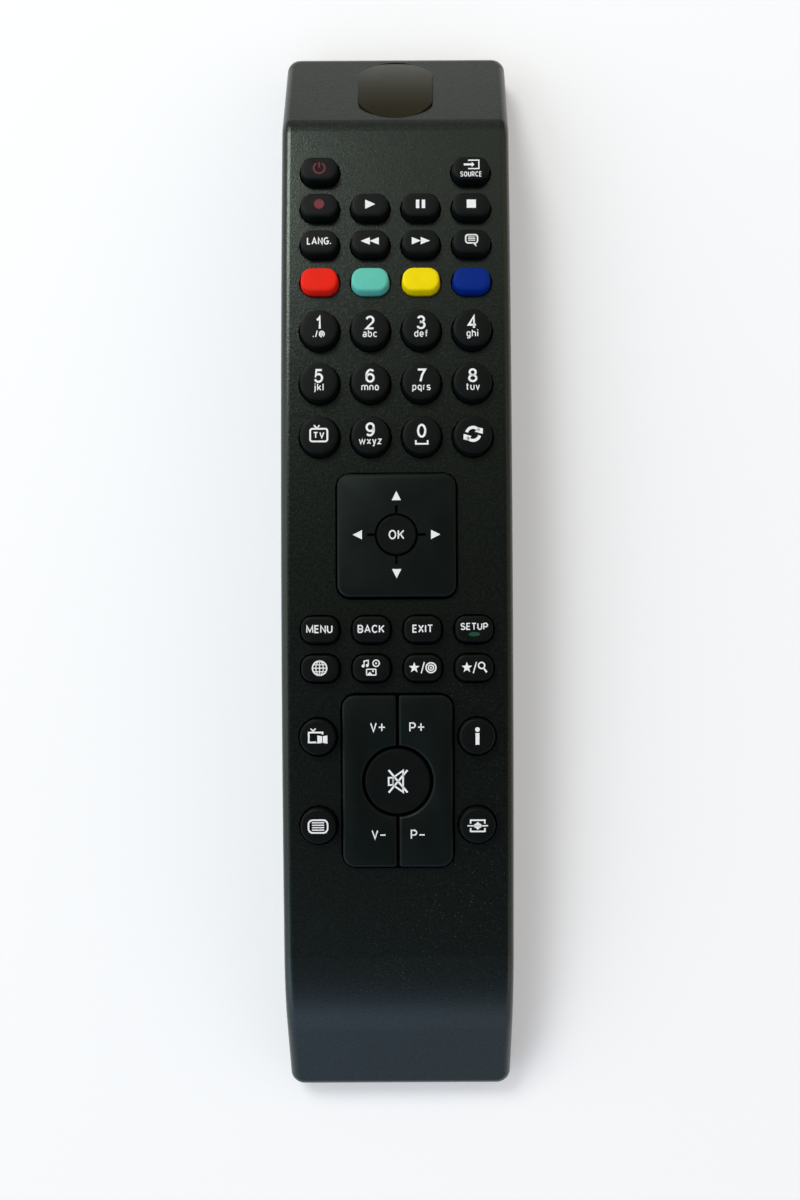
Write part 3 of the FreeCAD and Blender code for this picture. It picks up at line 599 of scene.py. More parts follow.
def make_round_key(node, diameter):
    """Flat round key in the middle of a plate, with its stem."""
    x, y = key_spot(node)
    place = on_face(x, y)
    bm = bmesh.new()
    profile = [(0, -round_key_depth), (0, plate_height - plate_bevel)]
    profile += round_edge(round_key_draft, plate_height, plate_bevel - round_key_draft)
    profile.append((plate_bevel + plate_edge_width, plate_height))
    stack(bm, [(circle(diameter - 2 * step, fine_circle_points), z) for step, z in profile])
    foot = place.inverted() @ Vector((x, y, stem_foot))
    half = round_key_stem_share * diameter
    outline = [(half, -half), (half, half), (-half, half), (-half, -half)]
    stack(bm, [(outline, foot.z), (outline, stem_overlap - round_key_depth)])
    cap = new_object(node + "_cap", bm, place)
    cap.data.materials.append(key_black)
    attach(cap, node)
    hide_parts(node)


# Direction pad and rockers

def plate_levels(outline):
    """Outlines of a flat plate from its underside up to its bevelled top edge."""
    levels = [(outline, -plate_depth), (outline, plate_height - plate_bevel)]
    levels.append((inset(outline, plate_bevel), plate_height - plate_edge_fall))
    levels.append((inset(outline, plate_bevel + plate_edge_width), plate_height))
    return levels


def make_pad():
    """Direction pad: square plate with a round hole, four slots and four contact stems."""
    pad_y = key_spot("key_ok")[1]
    place = on_face(0, pad_y)
    bm = bmesh.new()
    stack(bm, plate_levels(rounded(pad_width, pad_length, pad_corner)))
    pad = new_object("direction_pad", bm)
    bore = bmesh.new()
    drilled = circle(pad_hole, fine_circle_points)
    wider = circle(pad_hole + 2 * bore_lip, fine_circle_points)
    lower = [(drilled, -cutter_reach), (drilled, plate_height - bore_lip)]
    stack(bore, lower + [(wider, plate_height), (wider, cutter_reach)])
    cut(pad, new_object("bore", bore))
    grooves = bmesh.new()
    start = pad_hole / 2 - slot_overlap
    end = pad_hole / 2 + slot_length
    half = slot_width / 2
    for turn in range(4):
        spin = Matrix.Rotation(math.radians(90 * turn), 2)
        corners = [(start, -half), (end, -half), (end, half), (start, half)]
        turned = [tuple(spin @ Vector(corner)) for corner in corners]
        stack(grooves, [(turned, plate_height - slot_depth), (turned, cutter_reach)])
    cut(pad, new_object("grooves", grooves))
    pad.data.transform(place)
    finish_plate(pad, "dpad_plate", pad_stems(pad_y))


def pad_stems(pad_y):
    """Places of the four stems under the direction pad."""
    return [(pad_reach, pad_y), (-pad_reach, pad_y), (0, pad_y + pad_reach), (0, pad_y - pad_reach)]


def rocker_outline(side):
    """Half of the rocker block on one side, with the round bite that the mute key sits in."""
    half = rocker_slit / 2
    x = rocker_width / 2 - rocker_corner
    y = rocker_length / 2 - rocker_corner
    bite = mute_hole / 2
    start = math.degrees(math.acos(half / bite))
    inner_x = half + slit_corner
    inner_y = rocker_length / 2 - slit_corner
    points = arc(inner_x, -inner_y, slit_corner, 180, 270, slit_corner_steps)
    points += arc(x, -y, rocker_corner, -90, 0) + arc(x, y, rocker_corner, 0, 90)
    points += arc(inner_x, inner_y, slit_corner, 90, 180, slit_corner_steps)
    points += arc(0, 0, bite, start, -start, 3 * corner_steps)
    if side < 0:
        points = [(-x, y) for x, y in reversed(points)]
    return points


def make_rocker(side, node):
    """One rocker plate, volume on the left or programme on the right."""
    y = key_spot("key_mute")[1]
    bm = bmesh.new()
    stack(bm, plate_levels(rocker_outline(side)))
    plate = new_object(node + "_plate", bm, on_face(0, y))
    x = side * rocker_reach_x
    finish_plate(plate, node, [(x, y + rocker_reach_y), (x, y - rocker_reach_y)])


def finish_plate(plate, node, stems):
    """Adds the stems under a plate, and lets the plate stand for its CAD node."""
    bm = bmesh.new()
    bm.from_mesh(plate.data)
    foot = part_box(node)[0].z
    half = contact_stem / 2
    for x, y in stems:
        top = face_height(y) - plate_depth + plate_stem_overlap
        outline = [(x + half, y - half), (x + half, y + half), (x - half, y + half), (x - half, y - half)]
        stack(bm, [(outline, foot), (outline, top)])
    bm.to_mesh(plate.data)
    bm.free()
    plate.data.shade_smooth()
    plate.data.set_sharp_from_angle(angle=sharp_angle)
    plate.data.materials.append(plate_black)
    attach(plate, node)
    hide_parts(node)


# Signs printed on the keys, drawn in millimetres from the middle of the key's top

def sides_of(points, closed):
    """Unit directions before and after each point of a line."""
    count = len(points)
    found = []
    for index in range(count):
        here = Vector(points[index])
        before = Vector(points[index - 1]) if closed or index > 0 else None
        after = Vector(points[(index + 1) % count]) if closed or index < count - 1 else None
        first = (here - before).normalized() if before is not None else (after - here).normalized()
        second = (after - here).normalized() if after is not None else first
        found.append((first, second))
    return found


def stroke(points, width, closed=False):
    """Line of even width along some points, as one flat quad for each run."""
    left = []
    right = []
    for point, (first, second) in zip(points, sides_of(points, closed)):
        normal = Vector((-first.y - second.y, first.x + second.x)).normalized()
        share = max(normal.dot(Vector((-first.y, first.x))), least_stroke_cosine)
        shift = normal * (width / 2 / share)
        left.append(tuple(Vector(point) + shift))
        right.append(tuple(Vector(point) - shift))
    count = len(points) if closed else len(points) - 1
    quads = []
    for index in range(count):
        after = (index + 1) % len(points)
        quads.append([right[index], right[after], left[after], left[index]])
    return quads


def ring(x, y, diameter, width, start=0, end=360):
    """Circle or part of one, drawn as a line."""
    points = arc(x, y, diameter / 2, start, end, sign_circle_steps)
    if end - start >= 360:
        return stroke(points[:-1], width, True)
    return stroke(points, width)


def disc(x, y, diameter):
    """Filled circle."""
    return [arc(x, y, diameter / 2, 0, 360, sign_circle_steps)[:-1]]


def block(x0, y0, x1, y1):
    """Filled rectangle between two corners."""
    return [[(x0, y0), (x1, y0), (x1, y1), (x0, y1)]]


def framed(x, y, wide, tall, corner, width):
    """Rectangle with round corners, drawn as a line."""
    centre = rounded(wide, tall, corner)
    return stroke([(x + dx, y + dy) for dx, dy in centre], width, True)


def star(x, y, diameter):
    """Five-pointed star, filled."""
    points = []
    for step in range(10):
        radius = diameter / 2 * (1 if step % 2 == 0 else 0.42)
        angle = math.radians(90 + 36 * step)
        points.append((x + radius * math.cos(angle), y + radius * math.sin(angle)))
    middle = (x, y)
    return [[points[step - 1], points[step], middle] for step in range(10)]


def bow(x, y, wide, tall, start, end):
    """Points along part of an ellipse, given by its middle, half sizes and angles in degrees."""
    return [(x + wide * cx, y + tall * cy) for cx, cy in arc(0, 0, 1, start, end, bow_steps)]


# Each letter as lines in a box one wide, with capitals one tall and small letters low_top tall
low_top = 0.72
low_middle = low_top / 2
low_bowl = bow(0.5, low_middle, 0.5, low_middle, 0, 360)
round_top = bow(0.5, 0.42, 0.5, 0.3, 180, 0)
letter_p = [(0, 0), (0, 1), (0.55, 1)] + bow(0.55, 0.72, 0.43, 0.28, 90, -90) + [(0, 0.44)]
letter_lines = {
    "0": [bow(0.5, 0.5, 0.5, 0.5, 0, 360)],
    "1": [[(0, 0.74), (0.4, 0.8), (0.75, 1), (0.75, 0)]],
    "2": [bow(0.5, 0.7, 0.47, 0.3, 165, -30) + [(0, 0), (1, 0)]],
    "3": [bow(0.47, 0.76, 0.42, 0.24, 160, -90) + bow(0.47, 0.27, 0.5, 0.27, 90, -160)],
    "4": [[(0.72, 0), (0.72, 1), (0, 0.27), (1, 0.27)]],
    "5": [[(0.92, 1), (0.18, 1), (0.06, 0.5)] + bow(0.46, 0.33, 0.5, 0.33, 130, -160)],
    "6": [bow(0.5, 0.32, 0.5, 0.32, 0, 360), bow(0.58, 0.5, 0.58, 0.5, 190, 50)],
    "7": [[(0, 1), (1, 1), (0.6, 0.55), (0.36, 0)]],
    "8": [bow(0.5, 0.76, 0.42, 0.24, 0, 360), bow(0.5, 0.26, 0.5, 0.26, 0, 360)],
    "9": [bow(0.5, 0.68, 0.5, 0.32, 0, 360), bow(0.42, 0.5, 0.58, 0.5, 10, -130)],
    "A": [[(0, 0), (0.5, 1), (1, 0)], [(0.17, 0.32), (0.83, 0.32)]],
    "B": [letter_p, [(0, 0), (0.58, 0)] + bow(0.58, 0.26, 0.42, 0.26, -90, 90) + [(0, 0.52)]],
    "C": [bow(0.54, 0.5, 0.54, 0.5, 42, 318)],
    "E": [[(1, 1), (0, 1), (0, 0), (1, 0)], [(0, 0.52), (0.9, 0.52)]],
    "G": [bow(0.52, 0.5, 0.52, 0.5, 48, 318) + [(1, 0.46), (0.55, 0.46)]],
    "I": [[(0.5, 0), (0.5, 1)]],
    "K": [[(0, 0), (0, 1)], [(1, 1), (0.04, 0.36)], [(0.36, 0.58), (1, 0)]],
    "L": [[(0, 1), (0, 0), (1, 0)]],
    "M": [[(0, 0), (0, 1), (0.5, 0.12), (1, 1), (1, 0)]],
    "N": [[(0, 0), (0, 1), (1, 0), (1, 1)]],
    "O": [bow(0.5, 0.5, 0.5, 0.5, 0, 360)],
    "P": [letter_p],
    "R": [letter_p, [(0.5, 0.44), (1, 0)]],
    "S": [bow(0.5, 0.75, 0.46, 0.25, 25, 270) + bow(0.5, 0.25, 0.5, 0.25, 90, -155)],
    "T": [[(0, 1), (1, 1)], [(0.5, 1), (0.5, 0)]],
    "U": [[(0, 1), (0, 0.35)] + bow(0.5, 0.35, 0.5, 0.35, 180, 360) + [(1, 1)]],
    "V": [[(0, 1), (0.5, 0), (1, 1)]],
    "X": [[(0, 0), (1, 1)], [(0, 1), (1, 0)]],
    "a": [[(1, 0), (1, 0.45)] + bow(0.52, 0.45, 0.46, 0.27, 0, 150), bow(0.45, 0.2, 0.45, 0.2, 0, 360)],
    "b": [[(0, 1), (0, 0)], low_bowl],
    "c": [bow(0.54, low_middle, 0.54, low_middle, 45, 315)],
    "d": [[(1, 1), (1, 0)], low_bowl],
    "e": [[(0.03, 0.34), (1, 0.34)] + bow(0.5, low_middle, 0.5, low_middle, 0, 315)],
    "f": [[(0.4, 0), (0.4, 0.78)] + bow(0.85, 0.78, 0.45, 0.22, 180, 90), [(0, 0.66), (0.95, 0.66)]],
    "g": [low_bowl, [(1, low_top), (1, -0.08)] + bow(0.5, -0.08, 0.5, 0.2, 0, -150)],
    "h": [[(0, 1), (0, 0)], [(0, 0.3)] + round_top + [(1, 0)]],
    "i": [[(0.5, 0), (0.5, low_top)], [(0.5, 0.92), (0.5, 1.06)]],
    "j": [[(0.7, low_top), (0.7, -0.12), (0.1, -0.28)], [(0.7, 0.92), (0.7, 1.06)]],
    "k": [[(0, 1), (0, 0)], [(0.95, low_top), (0.05, 0.24)], [(0.4, 0.42), (1, 0)]],
    "l": [[(0.5, 0), (0.5, 1)]],
    "m": [[(0, 0), (0, low_top)], bow(0.25, 0.44, 0.25, 0.28, 180, 0) + [(0.5, 0)],
          bow(0.75, 0.44, 0.25, 0.28, 180, 0) + [(1, 0)]],
    "n": [[(0, 0), (0, low_top)], round_top + [(1, 0)]],
    "o": [low_bowl],
    "p": [[(0, low_top), (0, -0.3)], low_bowl],
    "q": [[(1, low_top), (1, -0.3)], low_bowl],
    "r": [[(0.1, 0), (0.1, low_top)], bow(0.8, 0.4, 0.7, 0.32, 180, 90)],
    "s": [bow(0.5, 0.54, 0.45, 0.18, 25, 270) + bow(0.5, 0.18, 0.5, 0.18, 90, -155)],
    "t": [[(0.4, 0.95), (0.4, 0.2)] + bow(0.75, 0.2, 0.35, 0.2, 180, 270), [(0, 0.68), (0.9, 0.68)]],
    "u": [[(0, low_top)] + bow(0.5, 0.3, 0.5, 0.3, 180, 360) + [(1, 0.3)], [(1, low_top), (1, 0)]],
    "v": [[(0, low_top), (0.5, 0), (1, low_top)]],
    "w": [[(0, low_top), (0.25, 0), (0.5, low_top), (0.75, 0), (1, low_top)]],
    "x": [[(0, 0), (1, low_top)], [(0, low_top), (1, 0)]],
    "y": [[(0, low_top), (0.5, 0.02)], [(1, low_top), (0.35, -0.3), (0.05, -0.3)]],
    "z": [[(0, low_top), (1, low_top), (0, 0), (1, 0)]],
    ".": [[(0.5, 0), (0.5, 0.16)]],
    "/": [[(0, 0), (1, 1)]],
    "@": [bow(0.5, 0.45, 0.5, 0.45, -60, 270), bow(0.48, 0.45, 0.2, 0.2, 0, 360)],
    "+": [[(0, 0.5), (1, 0.5)], [(0.5, 0.05), (0.5, 0.95)]],
    "-": [[(0, 0.45), (1, 0.45)]],
}

# Width of a letter as a share of the height of a capital, where it isn't a plain one
plain_width = {"digit": 0.66, "capital": 0.7, "small": 0.56}
odd_widths = {
    "1": 0.42, "A": 0.8, "E": 0.6, "G": 0.78, "I": 0.18, "L": 0.55, "M": 0.88, "O": 0.8, "C": 0.76,
    "f": 0.46, "i": 0.18, "j": 0.3, "l": 0.18, "m": 0.92, "r": 0.34, "t": 0.46, "w": 0.92,
    ".": 0.18, "/": 0.36, "@": 0.8, "+": 0.78, "-": 0.7,
}


def letter_width(letter):
    """Width of one letter as a share of the height of a capital."""
    if letter in odd_widths:
        return odd_widths[letter]
    if letter.isdigit():
        return plain_width["digit"]
    return plain_width["capital" if letter.isupper() else "small"]


def word(text, tall, x, y, weight, narrow=1.0, gap=0.14):
    """Word of plain drawn letters, centred on x and standing on y, with capitals that tall."""
    widths = [letter_width(letter) * tall * narrow for letter in text]
    space = gap * tall
    left = x - (sum(widths) + space * (len(text) - 1)) / 2
    faces = []
    for letter, wide in zip(text, widths):
        reach_x = max(wide - weight, 0.01)
        reach_y = tall - weight
        for line in letter_lines[letter]:
            points = [(left + weight / 2 + reach_x * px, y + weight / 2 + reach_y * py) for px, py in line]
            faces += stroke(points, weight)
        left += wide + space
    return faces


def add_sign(name, body, place, height, parts, material):
    """Printed sign as a thin flat mesh over the surface at that place and height."""
    bm = bmesh.new()
    level = height + ink_lift
    for part in parts:
        for polygon in part:
            corners = [bm.verts.new((x * mm, y * mm, level)) for x, y in polygon]
            face = bm.faces.new(corners)
            face.normal_update()
            if face.normal.z < 0:
                face.normal_flip()
    sign = new_object(name, bm, place)
    sign.data.materials.append(material)
    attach(sign, body)


def power_sign():
    """Open ring with an upright bar."""
    return [ring(0, 0, 2.3, 0.32, 118, 422), stroke([(0, 0.1), (0, 1.3)], 0.32)]


def source_sign():
    """Plug-in arrow going into a screen, over a word."""
    upper = [(-0.5, 0.85), (0.15, 0.85), (0.15, 1.2), (0.75, 0.62)]
    lower = [(-0.5, 0.4), (0.75, 0.62), (0.15, 0.05), (0.15, 0.4)]
    middle = [[(-0.5, 0.4), (0.75, 0.62), (-0.5, 0.85)]]
    screen = stroke([(-0.6, 1.55), (1.65, 1.55), (1.65, -0.3), (-0.6, -0.3)], 0.26)
    tail = block(-1.5, 0.4, -0.5, 0.85)
    return [[upper, lower], middle, screen, tail, word("SOURCE", 1.15, 0, -2.05, 0.17, 0.8, 0.1)]


def play_sign():
    """Triangle that points right."""
    return [[[(-0.95, -1.0), (1.15, 0), (-0.95, 1.0)]]]


def pause_sign():
    """Two upright bars."""
    return [block(-0.95, -0.92, -0.25, 0.92), block(0.25, -0.92, 0.95, 0.92)]


def stop_sign():
    """Square."""
    return [block(-0.95, -0.9, 0.95, 0.9)]


def fast_sign(way):
    """Two triangles that point the same way."""
    first = [(-1.85 * way, -0.8), (0.05 * way, 0), (-1.85 * way, 0.8)]
    second = [(0.0, -0.8), (1.9 * way, 0), (0.0, 0.8)]
    return [[first, second]]


def subtitle_sign():
    """Speech bubble with lines of text in it."""
    lines = [block(-0.75, y, 0.75, y + 0.18) for y in (-0.05, 0.3, 0.65)]
    tail = [[[(0.1, -0.5), (0.8, -0.5), (1.0, -1.35)]]]
    return [framed(0, 0.35, 2.45, 1.75, 0.5, 0.3)] + lines + tail


def tv_sign():
    """Television set with two aerial rods and its two letters."""
    rods = stroke([(-1.0, 1.95), (-0.35, 1.3)], 0.3) + stroke([(0.15, 1.95), (-0.35, 1.3)], 0.3)
    return [framed(0, -0.1, 3.5, 2.6, 0.45, 0.36), rods, word("TV", 1.35, 0, -0.78, 0.26, 1.1, 0.16)]


def bracket_sign():
    """Space mark: a low open bracket."""
    return [stroke([(-1.2, -1.25), (-1.2, -2.0), (1.2, -2.0), (1.2, -1.25)], 0.34)]


def swap_sign():
    """Two arrows that chase each other round a ring."""
    parts = []
    for turn in (0, 180):
        spin = Matrix.Rotation(math.radians(turn), 2)
        shaft = stroke(arc(0, 0, 1.35, 28, 165, 20), 0.62)
        head = [[(0.35, 0.45), (1.0, 1.35), (1.95, 0.0)], [(1.0, 1.35), (2.0, 1.1), (1.95, 0.0)]]
        for polygon in shaft + head:
            parts.append([[tuple(spin @ Vector(point)) for point in polygon]])
    return parts


def globe_sign():
    """Globe with three meridians and three parallels."""
    parts = [ring(0, 0, 2.9, 0.3), stroke([(0, -1.4), (0, 1.4)], 0.22), stroke([(-1.4, 0), (1.4, 0)], 0.22)]
    angles = [math.radians(degrees) for degrees in range(-90, 91, 15)]
    for side in (-1, 1):
        meridian = [(side * 0.75 * math.cos(angle), 1.4 * math.sin(angle)) for angle in angles]
        parts.append(stroke(meridian, 0.2))
        parts.append(stroke([(-1.2, side * 0.7), (1.2, side * 0.7)], 0.2))
    return parts


def media_sign():
    """Note, film reel and picture."""
    notes = stroke([(-1.45, 0.45), (-1.45, 1.4), (-0.6, 1.55), (-0.6, 0.55)], 0.24)
    heads = disc(-1.65, 0.4, 0.6) + disc(-0.8, 0.5, 0.6)
    reel = ring(1.0, 0.95, 1.3, 0.24) + disc(1.0, 0.95, 0.4)
    picture = framed(0.0, -0.85, 1.9, 1.2, 0.15, 0.24) + disc(0.35, -0.65, 0.4)
    hill = [[(-0.85, -1.35), (-0.3, -0.75), (0.25, -1.35)]]
    return [notes, heads, reel, picture, hill]


def star_disc_sign():
    """Star, stroke and disc."""
    slash = stroke([(-0.35, -1.15), (0.3, 1.15)], 0.24)
    rings = [ring(1.65, 0, 2.0, 0.28), ring(1.65, 0, 1.05, 0.26)]
    return [star(-1.75, 0, 2.3), slash] + rings + [disc(1.65, 0, 0.4)]


def star_search_sign():
    """Star, stroke and magnifying glass."""
    slash = stroke([(-0.25, -1.15), (0.4, 1.15)], 0.24)
    glass = ring(1.45, 0.4, 1.25, 0.28) + stroke([(1.85, -0.1), (2.5, -1.0)], 0.36)
    return [star(-1.55, 0, 2.3), slash, glass]


def guide_sign():
    """Television set with an open book in front of it."""
    rods = stroke([(-1.35, 1.75), (-0.85, 1.2)], 0.28) + stroke([(-0.35, 1.75), (-0.85, 1.2)], 0.28)
    set_line = stroke([(-0.2, -1.05), (-1.75, -1.05), (-1.75, 0.95), (1.05, 0.95), (1.05, 0.55)], 0.34)
    left_leaf = [(0.0, -1.3), (0.95, -1.15), (0.95, 0.2), (0.0, 0.35)]
    right_leaf = [(1.1, -1.15), (2.05, -1.3), (2.05, 0.35), (1.1, 0.2)]
    return [rods, set_line, [left_leaf, right_leaf]]


def info_sign():
    """Small letter i."""
    return [disc(0, 1.4, 0.95), block(-0.4, -1.7, 0.4, 0.7)]


def text_sign():
    """Screen full of lines."""
    lines = [block(-1.25, y, 1.25, y + 0.24) for y in (-0.85, -0.35, 0.15, 0.65)]
    return [framed(0, 0, 3.9, 2.6, 0.9, 0.34)] + lines


def screen_sign():
    """Picture that grows to fill its screen."""
    top = stroke([(-1.45, 0.45), (-1.45, 1.15), (1.45, 1.15), (1.45, 0.45)], 0.32)
    foot = stroke([(-1.45, -0.45), (-1.45, -1.15), (1.45, -1.15), (1.45, -0.45)], 0.32)
    arms = stroke([(-2.1, 0), (2.1, 0)], 0.26)
    up = [[(-0.45, 0.4), (0.45, 0.4), (0, 0.85)]]
    down = [[(-0.45, -0.4), (0, -0.85), (0.45, -0.4)]]
    return [top, foot, arms, block(-0.7, -0.4, 0.7, 0.4), up, down]


def mute_sign():
    """Loudspeaker outline crossed out."""
    body = stroke([(-1.85, -0.75), (-1.85, 0.75), (-0.95, 0.75), (-0.95, -0.75)], 0.34, True)
    horn = stroke([(-0.95, -0.75), (1.1, -2.2), (1.1, 2.2), (-0.95, 0.75)], 0.34, True)
    cross = stroke([(-1.85, -2.3), (2.0, 2.3)], 0.4) + stroke([(-1.85, 2.3), (2.0, -2.3)], 0.4)
    return [body, horn, cross]


def digit_sign(digit, letters):
    """Big digit over its small letters."""
    return [word(digit, 2.9, 0, -0.42, 0.44), word(letters, 1.55, 0, -2.05, 0.22)]


def make_key_signs():
    """Signs of the single keys that have one, each riding on its own key."""
    signs = {
        "key_source": source_sign(), "key_play": play_sign(), "key_pause": pause_sign(),
        "key_stop": stop_sign(), "key_language": [word("LANG.", 1.6, 0, -0.75, 0.26, 0.9, 0.1)],
        "key_rewind": fast_sign(-1), "key_forward": fast_sign(1), "key_subtitle": subtitle_sign(),
        "key_tv": tv_sign(), "key_swap": swap_sign(), "key_guide": guide_sign(), "key_info": info_sign(),
        "key_text": text_sign(), "key_screen": screen_sign(), "key_internet": globe_sign(),
        "key_media": media_sign(), "key_favourite_1": star_disc_sign(),
        "key_favourite_2": star_search_sign(),
        "key_menu": [word("MENU", 1.65, 0, -0.8, 0.26, 1.0, 0.12)],
        "key_back": [word("BACK", 1.65, 0, -0.8, 0.26, 1.0, 0.12)],
        "key_exit": [word("EXIT", 1.65, 0, -0.8, 0.26, 1.0, 0.12)],
        "key_quick_menu": [word("SETUP", 1.45, 0, -0.3, 0.23, 1.0, 0.12)],
        "key_0": [word("0", 2.9, 0, -0.75, 0.44)] + bracket_sign(),
    }
    letters = ["./@", "abc", "def", "ghi", "jkl", "mno", "pqrs", "tuv", "wxyz"]
    for digit, group in enumerate(letters, start=1):
        signs["key_%d" % digit] = digit_sign(str(digit), group)
    for node, parts in signs.items():
        add_sign(node + "_sign", node, on_face(*key_spot(node)), key_height, parts, white_ink)
    place = on_face(*key_spot("key_power"))
    add_sign("key_power_sign", "key_power", place, key_height, power_sign(), red_ink)
    place = on_face(*key_spot("key_record"))
    dot = [disc(0, 0.1, 2.1)]
    add_sign("key_record_sign", "key_record", place, key_height, dot, red_ink)
    oval = [[bow(0, -1.15, 1.2, 0.42, 0, 360)[:-1]]]
    place = on_face(*key_spot("key_quick_menu"))
    add_sign("key_quick_menu_mark", "key_quick_menu", place, key_height, oval, green_ink)


def make_plate_signs():
    """Signs of the direction pad, the rockers and the two round keys."""
    pad = on_face(*key_spot("key_ok"))
    reach = 8.0
    size = 0.95
    arrows = []
    for turn in range(4):
        spin = Matrix.Rotation(math.radians(90 * turn), 2)
        corners = [(reach - size, -size), (reach + size, 0), (reach - size, size)]
        arrows.append([[tuple(spin @ Vector(corner)) for corner in corners]])
    add_sign("dpad_plate_sign", "dpad_plate", pad, plate_height, arrows, white_ink)
    ok = [word("OK", 1.95, 0, -0.97, 0.28)]
    add_sign("key_ok_sign", "key_ok", pad, plate_height, ok, white_ink)
    block_place = on_face(*key_spot("key_mute"))
    add_sign("key_mute_sign", "key_mute", block_place, plate_height, mute_sign(), white_ink)
    volume = [word("V+", 1.95, -4.0, 10.1, 0.27), word("V-", 1.95, -3.9, -11.9, 0.27)]
    programme = [word("P+", 1.95, 4.0, 10.1, 0.27), word("P-", 1.95, 4.1, -11.9, 0.27)]
    add_sign("volume_rocker_sign", "volume_rocker", block_place, plate_height, volume, white_ink)
    add_sign("programme_rocker_sign", "programme_rocker", block_place, plate_height, programme, white_ink)


# Floor, light and camera

# The floor lies just under the back of the remote, so that the two share no plane
floor_drop = 0.02 * mm
floor_half_side = 2.0
room_strength = 3.2


def make_floor():
    """Pale floor that runs past the photograph's view on all sides."""
    bm = bmesh.new()
    bmesh.ops.create_grid(bm, x_segments=8, y_segments=8, size=floor_half_side)
    floor = new_object("floor", bm, Matrix.Translation((0, 0, -floor_drop)))
    floor.data.materials.append(floor_paint())


def share_towards(tree, place, direction, stops):
    """Colours over the whole sky that depend on how near a direction is to the given one."""
    facing = tree.nodes.new("ShaderNodeVectorMath")
    facing.operation = "DOT_PRODUCT"
    facing.inputs[1].default_value = Vector(direction).normalized()
    ramp = tree.nodes.new("ShaderNodeValToRGB")
    while len(ramp.color_ramp.elements) < len(stops):
        ramp.color_ramp.elements.new(0.5)
    for element, (position, colour) in zip(ramp.color_ramp.elements, stops):
        element.position = position
        element.color = (*colour, 1)
    tree.links.new(place.outputs["Generated"], facing.inputs[0])
    tree.links.new(facing.outputs["Value"], ramp.inputs["Fac"])
    return ramp.outputs["Color"]


def grey_stops(levels):
    """Stops of a ramp from pairs of place and grey level."""
    return [(at, (level, level, level)) for at, level in levels]


def make_world():
    """Room light: dark overhead, blue behind the tail, a dim ring ahead, warm and dimmer on the right."""
    world = bpy.data.worlds.new("room")
    bpy.context.scene.world = world
    world.use_nodes = True
    tree = world.node_tree
    place = tree.nodes.new("ShaderNodeTexCoord")
    overhead_levels = [(0.0, 0.65), (0.3, 0.75), (0.55, 1.0), (0.68, 0.6)]
    overhead_levels += [(0.8, 0.18), (0.88, 0.12), (0.95, 0.085), (1.0, 0.05)]
    overhead = share_towards(tree, place, (0.1, -0.17, 1.0), grey_stops(overhead_levels))
    tail_tints = [(0.0, (0.4, 0.39, 0.37)), (0.2, (0.38, 0.42, 0.44)), (0.42, (0.72, 0.82, 1.0))]
    tail_tints += [(0.6, (0.56, 0.63, 0.88)), (0.79, (0.35, 0.4, 0.58)), (0.92, (0.31, 0.36, 0.52))]
    tail_tints.append((0.978, (0.16, 0.19, 0.27)))
    behind = share_towards(tree, place, (0.0, -1.0, 0.0), tail_tints)
    wall_levels = [(0.0, 1.0), (0.66, 1.0), (0.75, 0.35), (0.95, 0.35), (1.0, 1.0)]
    ahead = share_towards(tree, place, (0.0, 1.0, 0.0), grey_stops(wall_levels))
    right_tints = [(0.0, (1.0, 1.0, 1.0)), (0.15, (0.93, 0.87, 0.83))]
    right_tints += [(0.6, (0.72, 0.6, 0.52)), (1.0, (0.6, 0.46, 0.38))]
    right = share_towards(tree, place, (1.0, 0.0, 0.0), right_tints)
    result = overhead
    for factor in (behind, ahead, right):
        product = tree.nodes.new("ShaderNodeMix")
        product.data_type = "RGBA"
        product.blend_type = "MULTIPLY"
        product.inputs["Factor"].default_value = 1.0
        colour_sockets = [s for s in product.inputs if s.type == "RGBA"]
        tree.links.new(result, colour_sockets[0])
        tree.links.new(factor, colour_sockets[1])
        result = [s for s in product.outputs if s.type == "RGBA"][0]
    light = tree.nodes["Background"]
    tree.links.new(result, light.inputs["Color"])
    light.inputs["Strength"].default_value = room_strength
    # The camera sees a plain pale backdrop in place of the room
    backdrop = tree.nodes.new("ShaderNodeBackground")
    backdrop.inputs["Color"].default_value = (0.91, 0.925, 0.94, 1)
    path = tree.nodes.new("ShaderNodeLightPath")
    either = tree.nodes.new("ShaderNodeMixShader")
    tree.links.new(path.outputs["Is Camera Ray"], either.inputs["Fac"])
    tree.links.new(light.outputs[0], either.inputs[1])
    tree.links.new(backdrop.outputs[0], either.inputs[2])
    tree.links.new(either.outputs[0], tree.nodes["World Output"].inputs["Surface"])


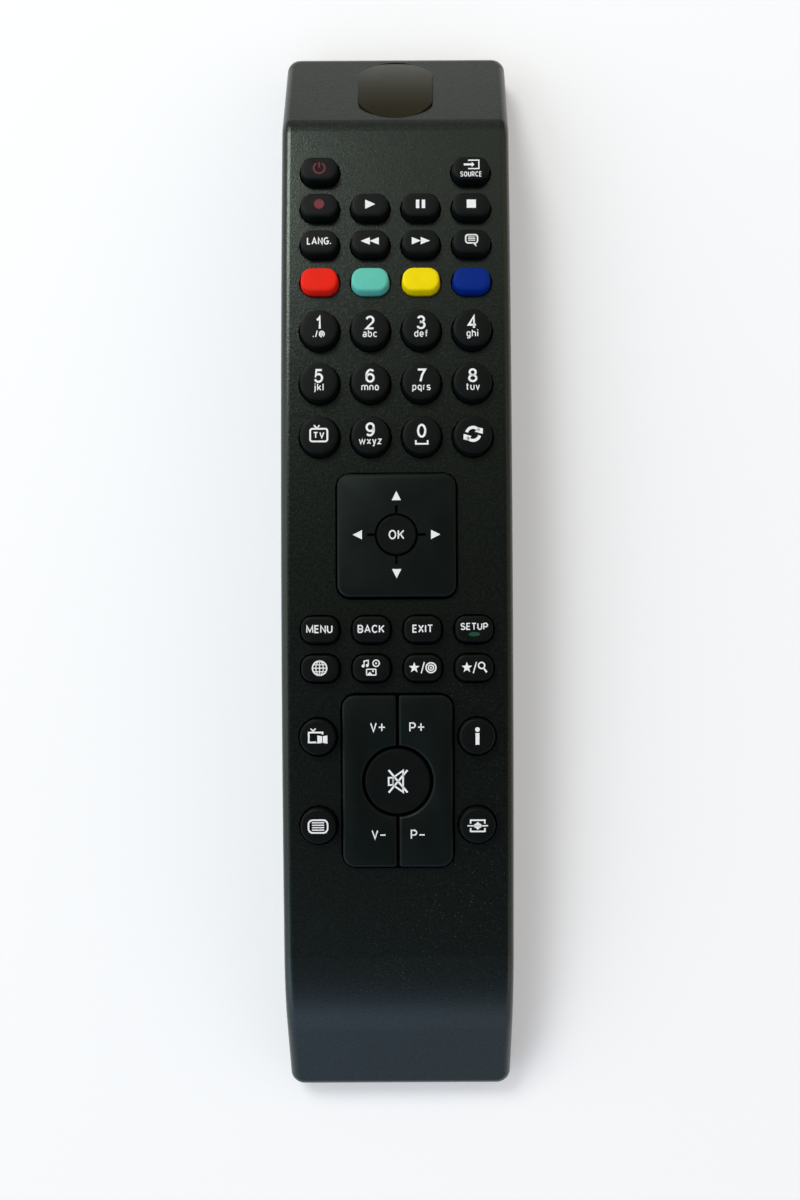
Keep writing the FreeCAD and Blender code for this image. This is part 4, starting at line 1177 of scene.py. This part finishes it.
def area_lamp(name, place, target, size, power, colour):
    """Rectangular soft lamp aimed at a point."""
    lamp = bpy.data.lights.new(name, "AREA")
    lamp.shape = "RECTANGLE"
    lamp.size = size[0]
    lamp.size_y = size[1]
    lamp.energy = power
    lamp.color = colour
    holder = bpy.data.objects.new(name, lamp)
    holder.location = place
    holder.rotation_euler = (Vector(target) - Vector(place)).to_track_quat("-Z", "Y").to_euler()
    bpy.context.scene.collection.objects.link(holder)


def make_lamps():
    """Window light from the left beyond the nose, and a faint lamp low on the left."""
    middle = (0, 0, 0.01)
    area_lamp("window_lamp", (-0.8, 1.22, 1.38), middle, (0.75, 0.7), 17.0, (1.0, 1.0, 0.98))
    area_lamp("left_lamp", (-0.9, 0.15, 0.42), middle, (0.5, 1.0), 1.0, (0.98, 1.0, 1.0))


def make_camera():
    """Camera over the lower half of the face, as in the photograph of 800 by 1200 pixels."""
    frame_wide = 800
    frame_tall = 1200
    sensor = 36
    pixel_on_face = 0.2055 * mm
    height_over_face = 215 * mm
    axis_column = 420
    axis_row = 722.6
    camera_x = 4.6 * mm
    camera_y = -37 * mm
    tilt = math.radians(0.78)
    roll = math.radians(-0.28)
    data = bpy.data.cameras.new("camera")
    data.sensor_width = sensor
    data.lens = sensor * height_over_face / pixel_on_face / frame_tall
    data.shift_x = (frame_wide / 2 - axis_column) / frame_tall
    data.shift_y = (axis_row - frame_tall / 2) / frame_tall
    data.clip_start = 0.01
    data.clip_end = 20
    camera = bpy.data.objects.new("camera", data)
    camera.location = (camera_x, camera_y, face_height(camera_y) + height_over_face)
    camera.rotation_euler = (tilt, 0, roll)
    bpy.context.scene.collection.objects.link(camera)
    bpy.context.scene.camera = camera


make_camera()
dress_nodes()
make_keys()
make_round_key("key_ok", ok_key)
make_round_key("key_mute", mute_key)
make_pad()
make_rocker(-1, "volume_rocker")
make_rocker(1, "programme_rocker")
make_key_signs()
make_plate_signs()
make_floor()
make_world()
make_lamps()
bpy.context.scene.view_settings.view_transform = "Standard"
